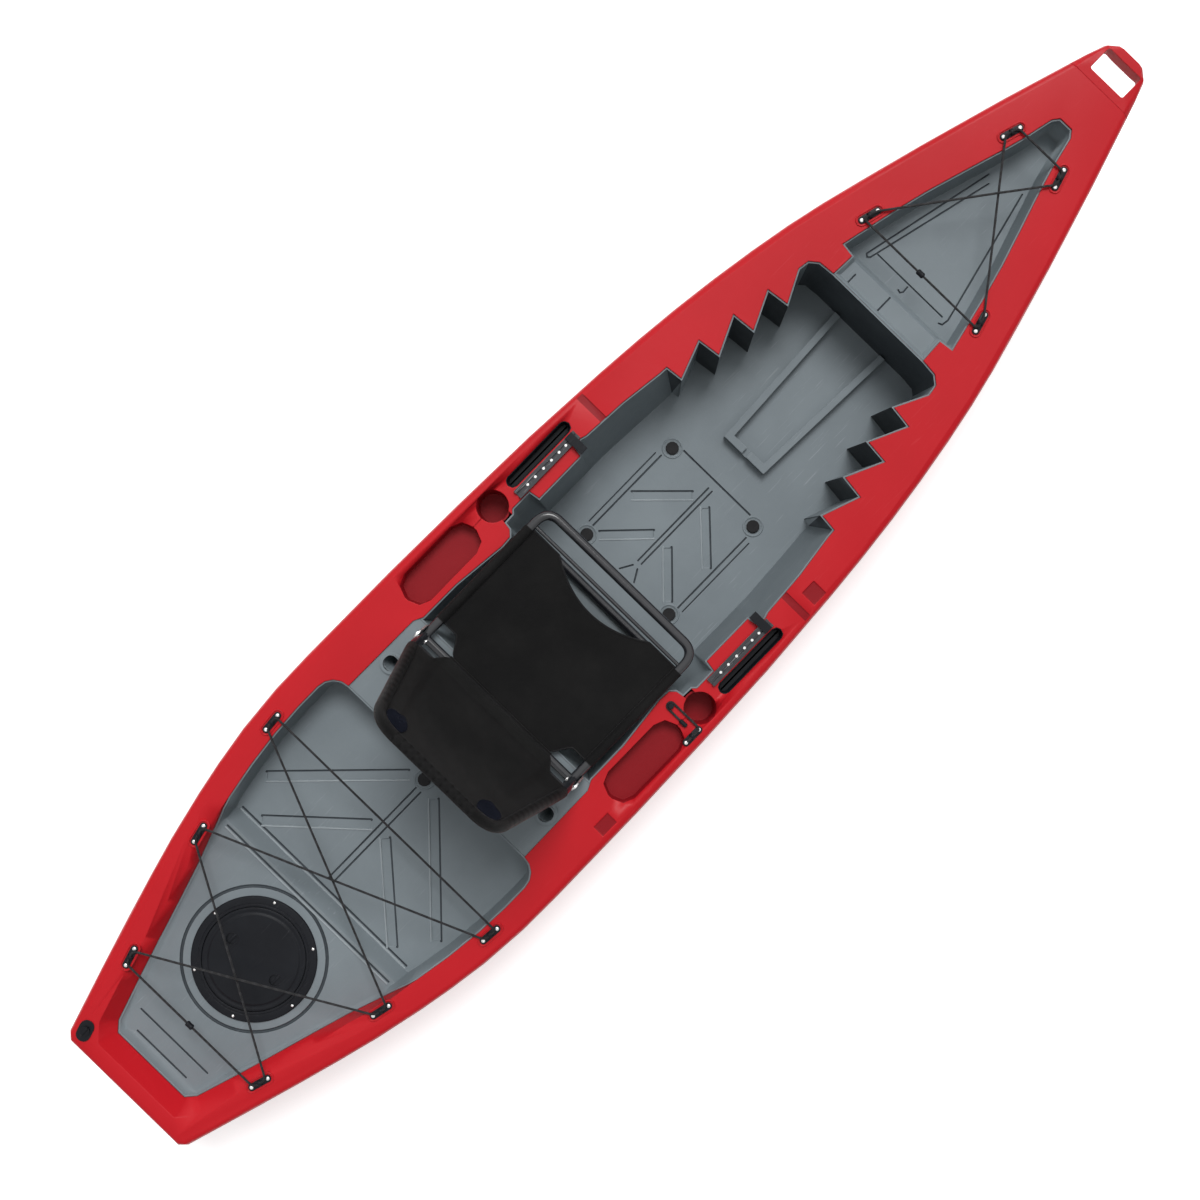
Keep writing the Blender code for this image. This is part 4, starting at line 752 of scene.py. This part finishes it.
def makeSternWell():
    well = meshObject("sternWellMoulding", nodeShape("stern_well"), greyPlastic)
    floor, platform, half = sternWell["floor"], sternWell["platform"], sternWell["chevronHalf"]
    bm = bmesh.new()
    for start, end in mirrored(sternWell["chevrons"], floor):
        addChannel(bm, start, end, half, sternWell["chevronDepth"])
    carve(well, bm)

    # the grooves take the dark grey as painted shade
    bm = bmesh.new()
    depth = sternWell["lineDepth"]
    for start, end in mirrored(sternWell["chevrons"], floor):
        addGroove(bm, *aside(start, end, half - 0.0022), 0.0034, depth)
    for start, end in mirrored(sternWell["centreLines"], floor):
        addGroove(bm, start, end, 0.0026, depth)
    crossBars = []
    for x, reach in sternWell["crossLines"]:
        height = platform if x < sternWell["platformFront"] else floor
        addGroove(bm, (x, -reach, height), (x, reach, height), 0.0028, depth)
        crossBars.append(((x - 0.0075, -reach, height - 0.0009), (x - 0.0075, reach, height - 0.0009)))
    for x, reach in sternWell["endLines"]:
        addGroove(bm, (x, -reach, platform), (x, reach, platform), 0.0026, depth)
    carve(well, bm, "DIFFERENCE", greyPaintedShade)

    # the ring pressed round the hatch, also dark grey as painted shade
    bm = bmesh.new()
    radius = sternWell["ringWidth"]
    verts = bmesh.ops.create_circle(bm, segments=10, radius=radius)["verts"]
    bmesh.ops.rotate(bm, verts=verts, cent=(0, 0, 0), matrix=Matrix.Rotation(math.radians(90), 3, "X"))
    bmesh.ops.translate(bm, verts=verts, vec=(sternWell["ringRadius"], 0, radius - sternWell["ringDepth"]))
    bmesh.ops.spin(bm, geom=bm.verts[:] + bm.edges[:], cent=(0, 0, 0), axis=(0, 0, 1), angle=2 * math.pi, steps=72,
                   use_merge=True)
    bmesh.ops.remove_doubles(bm, verts=bm.verts, dist=0.00001)
    bmesh.ops.recalc_face_normals(bm, faces=bm.faces)
    bmesh.ops.translate(bm, verts=bm.verts, vec=(sternWell["hatchX"], 0, platform))
    carve(well, bm, "DIFFERENCE", greyPaintedShade)

    joinRibs(well, sternWell["chevrons"], floor, half + 0.0010, crossBars)
    joinCollars(well, [sternWell["drain"]], floor)
    belongs(closeShell(well), "hull", "grey_plastic", "stern_well")


cockpit = {
    "floor": 0.090,
    "panel": (0.054, 0.3745, 0.160),
    "ribs": [((0.052, 0.130), (0.157, 0.026)), ((0.190, 0.142), (0.305, 0.024))],
    "ribHalf": 0.0125,
    "ribDepth": 0.0026,
    "lineDepth": 0.0034,
    "centreLines": [((0.075, 0.0066), (0.348, 0.0066)), ((0.025, 0.027), (0.057, 0.0085))],
    "drains": [(0.3575, 0.152), (0.3575, -0.152), (0.029, 0.155), (0.029, -0.155)],
    "darkFrom": 0.470,
}


def makeCockpit():
    tub = meshObject("cockpitMoulding", nodeShape("cockpit_tub"), greyPlastic)
    floor, half, depth = cockpit["floor"], cockpit["ribHalf"], cockpit["lineDepth"]
    bm = bmesh.new()
    for start, end in mirrored(cockpit["ribs"], floor):
        addChannel(bm, start, end, half, cockpit["ribDepth"])
    carve(tub, bm)

    # the grooves take the dark grey as painted shade
    bm = bmesh.new()
    for start, end in mirrored(cockpit["centreLines"], floor):
        addGroove(bm, start, end, 0.0025, depth)
    back, front, reach = cockpit["panel"]
    for side in (1, -1):
        for (ax, ay), (bx, by) in cockpit["ribs"]:
            addGroove(bm, *aside((ax, side * ay, floor), (bx, side * by, floor), half - 0.0022), 0.0032, depth)
        addGroove(bm, (back, side * reach, floor), (front - 0.052, side * reach, floor), 0.0026, depth)
        outer = side * (reach + 0.016)
        addGroove(bm, (back + 0.006, outer, floor), (front - 0.058, outer, floor), 0.0020, 0.0026)
    addGroove(bm, (front, -reach + 0.036, floor), (front, reach - 0.036, floor), 0.0028, depth)
    carve(tub, bm, "DIFFERENCE", greyPaintedShade)

    joinRibs(tub, cockpit["ribs"], floor, half + 0.0010)
    joinCollars(tub, cockpit["drains"], floor)
    # the walls that face aft between the foot rests and at the bow end take the dark grey as painted shade
    dark = [m.name for m in tub.data.materials].index("greyPaintedShade")
    for polygon in tub.data.polygons:
        if polygon.normal.x < -0.35 and polygon.center.x > cockpit["darkFrom"] and polygon.center.z > floor + 0.002:
            polygon.material_index = dark
    belongs(closeShell(tub), "hull", "grey_plastic", "cockpit_tub")


bowWell = {
    "lines": [([(1.056, 0.123), (1.050, 0.130), (1.056, 0.137), (1.418, 0.053)], 0.0032),
              ([(1.056, 0.123), (1.400, 0.036)], 0.0032),
              ([(1.056, -0.124), (1.060, -0.133), (1.078, -0.136), (1.440, -0.046)], 0.0032),
              ([(1.074, -0.118), (1.074, 0.118)], 0.0030),
              ([(1.045, 0.012), (1.043, 0.004), (1.050, -0.001), (1.067, 0.000)], 0.0030)],
    "bridgeLines": [([(0.946, 0.013), (0.999, 0.013)], 0.0030), ([(0.946, 0.118), (0.980, 0.118)], 0.0030)],
    "bridgeDrop": 0.018,
    "lineHalf": 0.0024,
}


# Top of the gunwale ahead of the flat part, where it lifts to the bow
def bowSheer(x):
    return 0.300 + 0.090 * ((x - 0.350) / 1.480) ** 1.7


def bowFloor(x):
    return bowSheer(x) - 0.078 - 0.014 * (x - 1.008) / 0.6


def bridgeTop(x):
    return bowSheer(x) - bowWell["bridgeDrop"]


def makeBowWell():
    well = meshObject("bowWellMoulding", nodeShape("bow_well"), greyPlastic)
    # the groove lines take the dark grey as painted shade
    bm = bmesh.new()
    for key, height in (("lines", bowFloor), ("bridgeLines", bridgeTop)):
        for line, depth in bowWell[key]:
            for (ax, ay), (bx, by) in zip(line, line[1:]):
                addGroove(bm, (ax, ay, height(ax)), (bx, by, height(bx)), bowWell["lineHalf"], depth)
    carve(well, bm, "DIFFERENCE", greyPaintedShade)
    belongs(closeShell(well), "hull", "grey_plastic", "bow_well")


# Pressed: reach along and across, floor, corner, steps. Recesses: reach along and across, on both sides
gunwale = {
    "pressed": [(0.300, 0.345, -0.398, -0.352, 0.2975, 0.003, 2), (-0.505, -0.448, -0.425, -0.385, 0.2970, 0.006, 3)],
    "pressedTop": 0.320,
    "recesses": [(-0.421, -0.161, 0.312, 0.416), (-0.138, -0.048, 0.326, 0.416), (0.252, 0.278, 0.300, 0.440),
                 (0.298, 0.347, 0.350, 0.400), (-0.507, -0.446, 0.383, 0.427)],
    "recessTop": 0.2988,
    "rimRound": 0.004,
    "rimFrom": 0.285,
}


# Rounds the outer rim, where the deck turns down to the skirt
def roundRim(bm):
    rim = []
    for edge in bm.edges:
        if len(edge.link_faces) != 2 or min(v.co.z for v in edge.verts) < gunwale["rimFrom"]:
            continue
        if 0.62 < edge.calc_face_angle() < 0.90 and edge.calc_length() > 0.004:
            along = edge.verts[1].co - edge.verts[0].co
            if abs(along.z) < 0.4 * along.length:
                rim.append(edge)
    bmesh.ops.bevel(bm, geom=rim, offset=gunwale["rimRound"], segments=4, profile=0.5, affect="EDGES", material=-1,
                    clamp_overlap=True)


def makeGunwale():
    shape = nodeShape("gunwale_deck")
    roundRim(shape)
    deck = meshObject("gunwaleMoulding", shape, redPlastic)
    bm = bmesh.new()
    for x0, x1, y0, y1, floor, corner, steps in gunwale["pressed"]:
        addBox(bm, (x0, y0, floor), (x1, y1, gunwale["pressedTop"]), None, corner, steps)
    carve(deck, bm)
    # faces low in the listed recesses take the darker red as painted shade
    deck.data.materials.append(redPaintedShade)
    for polygon in deck.data.polygons:
        x, y, z = polygon.center
        for low, high, near, far in gunwale["recesses"]:
            if low < x < high and near < abs(y) < far and z < gunwale["recessTop"]:
                polygon.material_index = 1
    belongs(closeShell(deck, True), "hull", "red_plastic", "gunwale_deck")


hull = {"panel": (-1.101, 0.601, 0.186), "wall": 0.006, "drain": 0.015}


# The shell and its bottom panel are one moulding, with a drain hole at each scupper
def makeHull():
    body = meshObject("hullMoulding", nodeShape("hull_shell"), redPlastic)
    bm = bmesh.new()
    back, front, half = hull["panel"]
    addBox(bm, (back, -half, 0), (front, half, hull["wall"]))
    carve(body, bm, "UNION")
    bm = bmesh.new()
    for x, y in cockpit["drains"] + [sternWell["drain"]]:
        addCylinder(bm, hull["drain"], -0.02, 0.02, 32, Matrix.Translation((x, y, 0)))
    carve(body, bm)
    belongs(closeShell(body), "hull", "red_plastic", "hull_shell", "hull_keel_panel")


makeSternWell()
makeCockpit()
makeBowWell()
makeGunwale()
makeHull()
for node, name, material, slot in (("bow_handle", "noseMoulding", redPlastic, "red_plastic"),
                                   ("seat_deck", "seatDeckMoulding", greyPlastic, "grey_plastic")):
    belongs(evenShading(meshObject(name, nodeShape(node), material)), "hull", slot, node)
print("stage: mouldings carved")


# Round hatch

hatch = {
    "x": -1.370,
    "deck": 0.242,
    "outer": 0.165,
    "neck": 0.141,
    "lidSeat": 0.1365,
    "steps": 96,
    "ringScrews": 6,
    "grips": 36,
    "fingerHoles": (0.078, -0.078),
}


def makeHatch():
    centre = Matrix.Translation((hatch["x"], 0, hatch["deck"]))
    outer, neck, seat = hatch["outer"], hatch["neck"], hatch["lidSeat"]
    shelf = seat - 0.016
    bm = bmesh.new()
    addTurned(bm, [(outer - 0.0045, 0.0060), (outer - 0.0020, 0.0055), (outer - 0.0006, 0.0042), (outer, 0.0020),
                   (outer, 0.0003), (neck, 0.0003), (neck, -0.030), (shelf, -0.030), (shelf, -0.014),
                   (seat, -0.014), (seat, 0.0045), (seat + 0.0010, 0.0058), (seat + 0.0030, 0.0062),
                   (seat + 0.0060, 0.0062), (seat + 0.0070, 0.0050), (seat + 0.0090, 0.0050),
                   (seat + 0.0100, 0.0060)], hatch["steps"], centre, True)
    belongs(meshObject("hatchRing", bm, blackPlastic, 20), "hull", "black_plastic", "hatch_ring")

    edge = seat * math.cos(math.pi / 40) - 0.0003
    under = -0.014 + 0.005 + 0.0006
    bm = bmesh.new()
    addTurned(bm, [(0, 0.0072), (0.112, 0.0072), (0.1135, 0.0079), (edge - 0.0200, 0.0079),
                   (edge - 0.0180, 0.0072), (edge - 0.0160, 0.0055), (edge - 0.0130, 0.0046),
                   (edge - 0.0090, 0.0052), (edge - 0.0060, 0.0062), (edge - 0.0025, 0.0060), (edge - 0.0008, 0.0052),
                   (edge, 0.0038), (edge, under), (edge - 0.014, under), (edge - 0.014, 0.001), (0, 0.001)],
              hatch["steps"], centre)
    lid = meshObject("hatchLid", bm, blackPlastic, 30)
    bm = bmesh.new()
    for y in hatch["fingerHoles"]:
        addCylinder(bm, 0.0150, 0.0030, 0.02, 32, centre @ Matrix.Translation((0, y, 0)), 1.04)
    for i in range(hatch["grips"]):
        turn = Matrix.Rotation(2 * math.pi * i / hatch["grips"], 4, "Z")
        addCylinder(bm, 0.0022, 0.0044, 0.02, 8, centre @ turn @ Matrix.Translation((edge + 0.0002, 0, 0)))
    carve(lid, bm)
    belongs(evenShading(lid), "hatch_cover", "black_plastic", "hatch_lid")

    # finger bars in the two recesses
    bm = bmesh.new()
    for y in hatch["fingerHoles"]:
        spot = centre @ Matrix.Translation((0, y, 0))
        addBox(bm, (-0.0146, -0.0028, 0.0028), (0.0146, 0.0028, 0.0068), spot, 0.0009)
        addTurned(bm, [(0.0150, 0.0068), (0.0150, 0.0078), (0.0158, 0.0082), (0.0166, 0.0078), (0.0170, 0.0068)],
                  32, spot, True)
    belongs(meshObject("hatchLidGrips", bm, blackPlastic, 40), "hatch_cover", "black_plastic")

    bm = bmesh.new()
    for i in range(hatch["ringScrews"]):
        turn = Matrix.Rotation(2 * math.pi * (i + 0.4) / hatch["ringScrews"], 4, "Z")
        addScrew(bm, centre @ turn @ Matrix.Translation(((outer + neck) / 2 + 0.0035, 0, 0.0058)), 0.0036, 0.0014)
    belongs(meshObject("hatchScrews", bm, steelMetal, 40), "hull", "steel")


makeHatch()
print("stage: hatch turned")


# Pad eyes and their screws: the place and turn of each on the port side, and the paddle keeper's own

padEye = {
    "length": 0.064,
    "width": 0.019,
    "base": 0.003,
    "screwOffset": 0.0235,
    "places": {
        "stern_1": ((-1.565, 0.231, 0.3077), (0.0047, 0.0156, 0.2941)),
        "stern_2": ((-1.218, 0.325, 0.3032), (0.0022, 0.0094, 0.2248)),
        "stern_3": ((-0.884, 0.390, 0.3010), (0.0003, 0.0035, 0.0831)),
        "bow_1": ((1.106, 0.196, 0.3294), (0.0173, -0.0621, -0.2719)),
        "bow_2": ((1.497, 0.084, 0.3590), (0.0259, -0.0819, -0.3066)),
    },
    "keeper": (-0.158, -0.407, 0.3006),
}
eyePlaces = {}
for key, ((x, y, z), (tilt, pitch, turn)) in padEye["places"].items():
    for word, side in (("port", 1), ("starboard", -1)):
        eyePlaces["pad_eye_%s_%s" % (key, word)] = (
            Matrix.Translation((x, side * y, z)) @ Matrix.Rotation(side * turn, 4, "Z")
            @ Matrix.Rotation(pitch, 4, "Y") @ Matrix.Rotation(side * tilt, 4, "X"))


def makePadEye(node, matrix, screws):
    half, base = padEye["width"] / 2, padEye["base"]
    bm = bmesh.new()
    addBox(bm, (-padEye["length"] / 2, -half, 0), (padEye["length"] / 2, half, base))
    upright = [e for e in bm.edges if abs(e.verts[0].co.z - e.verts[1].co.z) > 0.001]
    bmesh.ops.bevel(bm, geom=upright, offset=0.0085, segments=5, profile=0.5, affect="EDGES", material=-1)
    rim = [e for e in bm.edges if all(abs(v.co.z - base) < 1e-6 for v in e.verts)]
    bmesh.ops.bevel(bm, geom=rim, offset=0.0009, segments=2, profile=0.5, affect="EDGES", material=-1)
    # the arch over the cord is half a ring, its cross-section rounded
    outer = half - 0.0003
    inner = outer - 0.0021
    ring = bmesh.ops.create_circle(bm, segments=10, radius=1.0)["verts"]
    bmesh.ops.scale(bm, vec=(0.0045, (outer - inner) / 2, 1), verts=ring)
    bmesh.ops.translate(bm, vec=(0, (outer + inner) / 2, base - 0.0008), verts=ring)
    ringEdges = unique(e for v in ring for e in v.link_edges)
    spun = bmesh.ops.spin(bm, geom=ring + ringEdges, cent=(0, 0, base - 0.0008), axis=(1, 0, 0), angle=math.pi,
                          steps=14)
    bmesh.ops.edgeloop_fill(bm, edges=[g for g in spun["geom_last"] if isinstance(g, bmesh.types.BMEdge)])
    bmesh.ops.edgeloop_fill(bm, edges=ringEdges)
    bmesh.ops.recalc_face_normals(bm, faces=bm.faces)
    bmesh.ops.transform(bm, matrix=matrix, verts=bm.verts)
    belongs(meshObject(pieceName(node), bm, blackPlastic, 40), "hull", "black_plastic", node)
    for end in (-1, 1):
        addScrew(screws, matrix @ Matrix.Translation((end * padEye["screwOffset"], 0, base)), 0.0050, 0.0019)


def makePadEyes():
    screws = bmesh.new()
    for node, matrix in eyePlaces.items():
        makePadEye(node, matrix, screws)
    makePadEye("paddle_keeper_eye", Matrix.Translation(padEye["keeper"]), screws)
    belongs(meshObject("padEyeScrews", screws, steelMetal, 40), "hull", "steel")


makePadEyes()
print("stage: pad eyes fixed")


# Small fittings of the deck: recess liners, bolt heads in the tracks, lips round the pad eyes

fittings = {
    "recess": ((-0.0270, 0.3630), (0.1960, 0.3960)),
    "recessTop": 0.2990,
    "recessBottom": 0.2658,
    "boltPlaces": (0.010, 0.038, 0.068, 0.097, 0.125, 0.150),
    "boltRadius": 0.0037,
    "trackY": 0.345,
    "slotFloor": 0.3028,
    "lip": (0.0385, 0.0150, 0.0022),
}


def makeFittings():
    (x0, y0), (x1, y1) = fittings["recess"]
    for name, low, high in (("recessLinerPort", (x0, y0), (x1, y1)), ("recessLinerStarboard", (x0, -y1), (x1, -y0))):
        bm = bmesh.new()
        addTray(bm, low, high, fittings["recessTop"], fittings["recessBottom"], 0.0150, 0.0042, 0.0012)
        belongs(meshObject(name, bm, blackPlastic, 50), "hull", "black_plastic")
    bm = bmesh.new()
    low, high = fittings["slotFloor"] - 0.0008, fittings["slotFloor"] + 0.0002
    for x in fittings["boltPlaces"]:
        for side in (1, -1):
            spot = Matrix.Translation((x, side * fittings["trackY"], 0))
            addCylinder(bm, fittings["boltRadius"], low, high, 20, spot)
    belongs(meshObject("trackBolts", bm, steelMetal, 40), "hull", "steel")
    lips = bmesh.new()
    long, wide, rise = fittings["lip"]
    for matrix in eyePlaces.values():
        bm = bmesh.new()
        addTray(bm, (-long, -wide), (long, wide), rise, -0.0010, 0.0140, -0.0010, 0.0028)
        inner = [v for v in bm.verts if abs(v.co.z - 0.0018) < 1e-5]
        bmesh.ops.translate(bm, vec=(0, 0, -0.0016), verts=inner)
        bmesh.ops.transform(bm, matrix=matrix, verts=bm.verts)
        mesh = bpy.data.meshes.new("lip")
        bm.to_mesh(mesh)
        bm.free()
        lips.from_mesh(mesh)
    belongs(meshObject("padEyeLips", lips, redPlastic, 50), "hull", "red_plastic")


makeFittings()
print("stage: fittings placed")


# Seat: bent tubes, woven slings with sleeves, webbing and caps

seat = {
    "height": 0.325,
    "half": 0.262,
    "front": 0.000,
    "back": -0.470,
    "tube": 0.0125,
    "rod": 0.005,
    "rodX": -0.053,
    "rearBarX": -0.452,
    "hingeX": -0.455,
    "hingeHeight": 0.355,
    "backLength": 0.445,
    "backTopHalf": 0.184,
    "backBend": 0.065,
    "backBar": 0.050,
    "backBarRadius": 0.008,
    "backReach": 0.060,
    "backLean": math.radians(21),
    "legs": {"seat_front_leg": -0.075, "seat_rear_leg": -0.375},
    "legFoot": 0.1028,
    "legFootHalf": 0.222,
    "clothWall": 0.0016,
    "clothInset": 0.0095,
    "sleeveWall": 0.0018,
    "patchWall": 0.0024,
}
backTurn = (Matrix.Translation((seat["hingeX"], 0, seat["hingeHeight"]))
            @ Matrix.Rotation(-seat["backLean"], 4, "Y"))


def backRoute(count):
    half, bend, length, topHalf = seat["half"], seat["backBend"], seat["backLength"], seat["backTopHalf"]
    return roundedRoute([(0, half, -0.010), (0, half, bend), (0, topHalf, length), (0, -topHalf, length),
                         (0, -half, bend), (0, -half, -0.010)], seat["backReach"], count)


backPort = [point for point in backRoute(12) if point.y > 0]


# How far the back's tube stands from the middle at a height
def backHalf(height):
    for low, high in zip(backPort, backPort[1:]):
        if low.z <= height < high.z:
            return low.y + (high.y - low.y) * (height - low.z) / (high.z - low.z)
    return backPort[0].y


def joinPieces(name, pieces, material):
    bm = bmesh.new()
    for piece in pieces:
        bm.from_mesh(piece.data)
        bpy.data.objects.remove(piece, do_unlink=True)
    return meshObject(name, bm, material, 50)


def makeSeatFrames():
    half, z, radius = seat["half"], seat["height"], seat["tube"]
    loop = roundedRoute([(seat["back"], half, z), (seat["front"], half, z), (seat["front"], -half, z),
                         (seat["back"], -half, z)], 0.045, 10)
    tubes = [tubePiece("baseLoop", loop, radius, None, 20)]
    for name, x, thick, sides in (("rearBar", seat["rearBarX"], radius - 0.001, 20),
                                  ("frontRod", seat["rodX"], seat["rod"], 12)):
        tubes.append(tubePiece(name, [(x, half, z), (x, -half, z)], thick, None, sides))
    belongs(joinPieces("seatBaseTubes", tubes, seatPaint), "seat", "seat_tube", "seat_base_frame")
    top, foot, footHalf = z - radius - 0.0003, seat["legFoot"], seat["legFootHalf"]
    for node, x in seat["legs"].items():
        route = roundedRoute([(x, half, top), (x, footHalf, foot), (x, -footHalf, foot), (x, -half, top)], 0.035, 8)
        belongs(tubePiece(pieceName(node), route, radius, seatPaint, 20), "seat", "seat_tube", node)
    bar = [backTurn @ Vector((0, side * half, seat["backBar"])) for side in (1, -1)]
    tubes = [tubePiece("backLoop", [backTurn @ p for p in backRoute(10)], radius, None, 20),
             tubePiece("backBar", bar, seat["backBarRadius"], None, 16)]
    belongs(joinPieces("seatBackTubes", tubes, seatPaint), "seat_back", "seat_tube", "seat_back_frame")
    # plugs in the open tube ends
    bm = bmesh.new()
    for side in (1, -1):
        matrix = Matrix.Translation((seat["back"], side * half, z)) @ Matrix.Rotation(math.radians(-90), 4, "Y")
        addTurned(bm, [(0, 0.0035), (0.008, 0.0032), (0.0118, 0.0018), (0.0127, 0), (0, -0.0002)], 20, matrix)
    belongs(meshObject("seatTubeCaps", bm, blackPlastic, 40), "seat", "black_plastic")


# A sling grid: columns across, rows along, each point placed by the cloth's shape, with its UV map in metres
def slingPiece(name, rows, columns, spot, wide, tall, material, wall):
    bm = bmesh.new()
    bmesh.ops.create_grid(bm, x_segments=columns, y_segments=rows, size=0.5, calc_uvs=True)
    layer = bm.loops.layers.uv.verify()
    for face in bm.faces:
        for loop in face.loops:
            loop[layer].uv = (loop.vert.co.x * wide, loop.vert.co.y * tall)
    for vertex in bm.verts:
        vertex.co = spot(vertex.co.y + 0.5, vertex.co.x * 2)
    made = meshObject(name, bm, material, 60)
    cloth = made.modifiers.new("cloth", "SOLIDIFY")
    cloth.thickness = wall
    cloth.offset = 0
    cloth.use_even_offset = True
    return settle(made, 60)


def smoothStep(value):
    value = min(max(value, 0.0), 1.0)
    return value * value * (3 - 2 * value)


# The pan runs from the sleeve round the rear bar to a hem short of the front rod
def panSpot(along, across):
    y = across * (seat["half"] - seat["clothInset"])
    front = -0.115 + 0.053 * min(1, (abs(y) / 0.16)) ** 2
    back = -0.4440 + 0.0515 * smoothStep((abs(y) - 0.165) / 0.045)
    x = back + (front - back) * along
    sag = 0.022 * (1 - across ** 2) * math.sin(math.pi * (0.15 + 0.75 * along))
    fold = 0.0012 * math.sin(41 * x + 9 * y) * math.sin(17 * y + 2) * (1 - across ** 4)
    return Vector((x, y, seat["height"] + 0.001 - sag + fold))


# The back hangs over its lower bar, as a flap that hides the hinge line between the corner gaps
def backSpot(along, across):
    low = -0.0110 + 0.0715 * smoothStep((abs(across) - 0.70) / 0.12)
    z = low + (seat["backLength"] - seat["clothInset"] - low) * along
    y = across * (backHalf(z) - seat["clothInset"])
    above = min(max((z - 0.060) / 0.370, 0.0), 1.0)
    fold = 0.0016 * math.sin(23 * z + 13 * y) * math.sin(19 * y + 31 * z + 1)
    sag = (0.024 * (1 - across ** 2) + fold * (1 - across ** 4)) * math.sin(math.pi * above)
    ahead = 0.0098 * (1 - smoothStep((z - 0.056) / 0.060)) - 0.0020 * (1 - smoothStep((z + 0.011) / 0.04))
    return backTurn @ Vector((ahead - sag, y, z))


# A bound edge along one row of the cloth
def hemPiece(spot, along, start, end, count, radius):
    route = [spot(along, start + (end - start) * i / count) for i in range(count + 1)]
    return tubePiece("hem", route, radius, None, 10)


def makeSlings():
    half, height, rear = seat["half"], seat["height"], seat["rearBarX"]
    sleeve = seat["tube"] + seat["sleeveWall"]
    pan = slingPiece("seatPanCloth", 26, 48, panSpot, 0.50, 0.34, seatCloth, seat["clothWall"])
    belongs(pan, "seat", "seat_mesh", "seat_pan_mesh")
    back = slingPiece("seatBackCloth", 44, 48, backSpot, 0.50, 0.46, seatCloth, seat["clothWall"])
    belongs(back, "seat_back", "seat_mesh", "seat_back_mesh")

    # sleeves sewn round the tubes
    sleeves = [tubePiece("sleeve", [(-0.392, side * half, height), (-0.066, side * half, height)], sleeve, None, 24,
                         0.090) for side in (1, -1)]
    sleeves.append(tubePiece("sleeve", [(rear, 0.178, height), (rear, -0.178, height)],
                             seat["tube"] - 0.001 + 0.0016, None, 24, 0.082))
    belongs(joinPieces("seatPanSleeves", sleeves, seatCloth), "seat", "seat_mesh")
    route = [backTurn @ point for point in backRoute(14) if point.z > 0.066]
    belongs(tubePiece("seatBackSleeve", route, sleeve, seatCloth, 24, 0.090), "seat_back", "seat_mesh")

    # bound edges along the pan's front and the open rear corners, and corner patches on the back
    hems = [hemPiece(panSpot, 0.997, -1, 1, 60, 0.0024)]
    for side in (1, -1):
        hems.append(hemPiece(panSpot, 0.004, side * 0.70, side, 20, 0.0022))
    belongs(joinPieces("seatPanHems", hems, seatWebbing), "seat", "seat_mesh")
    belongs(joinPieces("seatBackHems", [hemPiece(backSpot, 0.003, -1, 1, 60, 0.0016)], seatWebbing), "seat_back",
            "seat_mesh")

    ahead = backTurn.to_3x3() @ Vector((0.0028, 0, 0))
    patches = []
    for side in (1, -1):
        def patchSpot(along, across, side=side):
            high = 2 * along - 1
            wide = 0.17 * across * math.sqrt(1 - high ** 2 / 2)
            tall = 0.095 * high * math.sqrt(1 - across ** 2 / 2)
            return backSpot(0.880 + tall, side * (0.79 + wide)) + ahead
        patches.append(slingPiece("patch", 14, 14, patchSpot, 0.06, 0.06, None, seat["patchWall"]))
    belongs(joinPieces("seatBackPatches", patches, patchVinyl), "seat_back", "seat_mesh")


makeSeatFrames()
makeSlings()
print("stage: seat made")


# Nodes whose shape is right keep it, and take a finish: "*" stands for port and starboard, "#" for 1 to 5

finishes = [
    (greyPlastic, ["console_frame", "rod_holder_*", "scupper_tube_#"]),
    (trackMetal, ["gear_track_*"]),
    (blackPlastic, ["track_clamp_*", "drain_base", "drain_plug", "paddle_keeper_bead", "paddle_keeper_button"]),
    (blackRubber, ["scupper_plug_#", "hatch_gasket"]),
    (steelMetal, ["seat_hinge_bracket_*", "seat_hinge_pin_*"]),
    (foamWhite, ["foam_block_cockpit", "foam_block_stern"]),
]
for material, names in finishes:
    for name in names:
        for side in ("port", "starboard") if "*" in name else "12345" if "#" in name else ("",):
            made = nodes[name.replace("*", side).replace("#", side)]
            made.data.materials.clear()
            made.data.materials.append(material)
print("stage: finishes given")
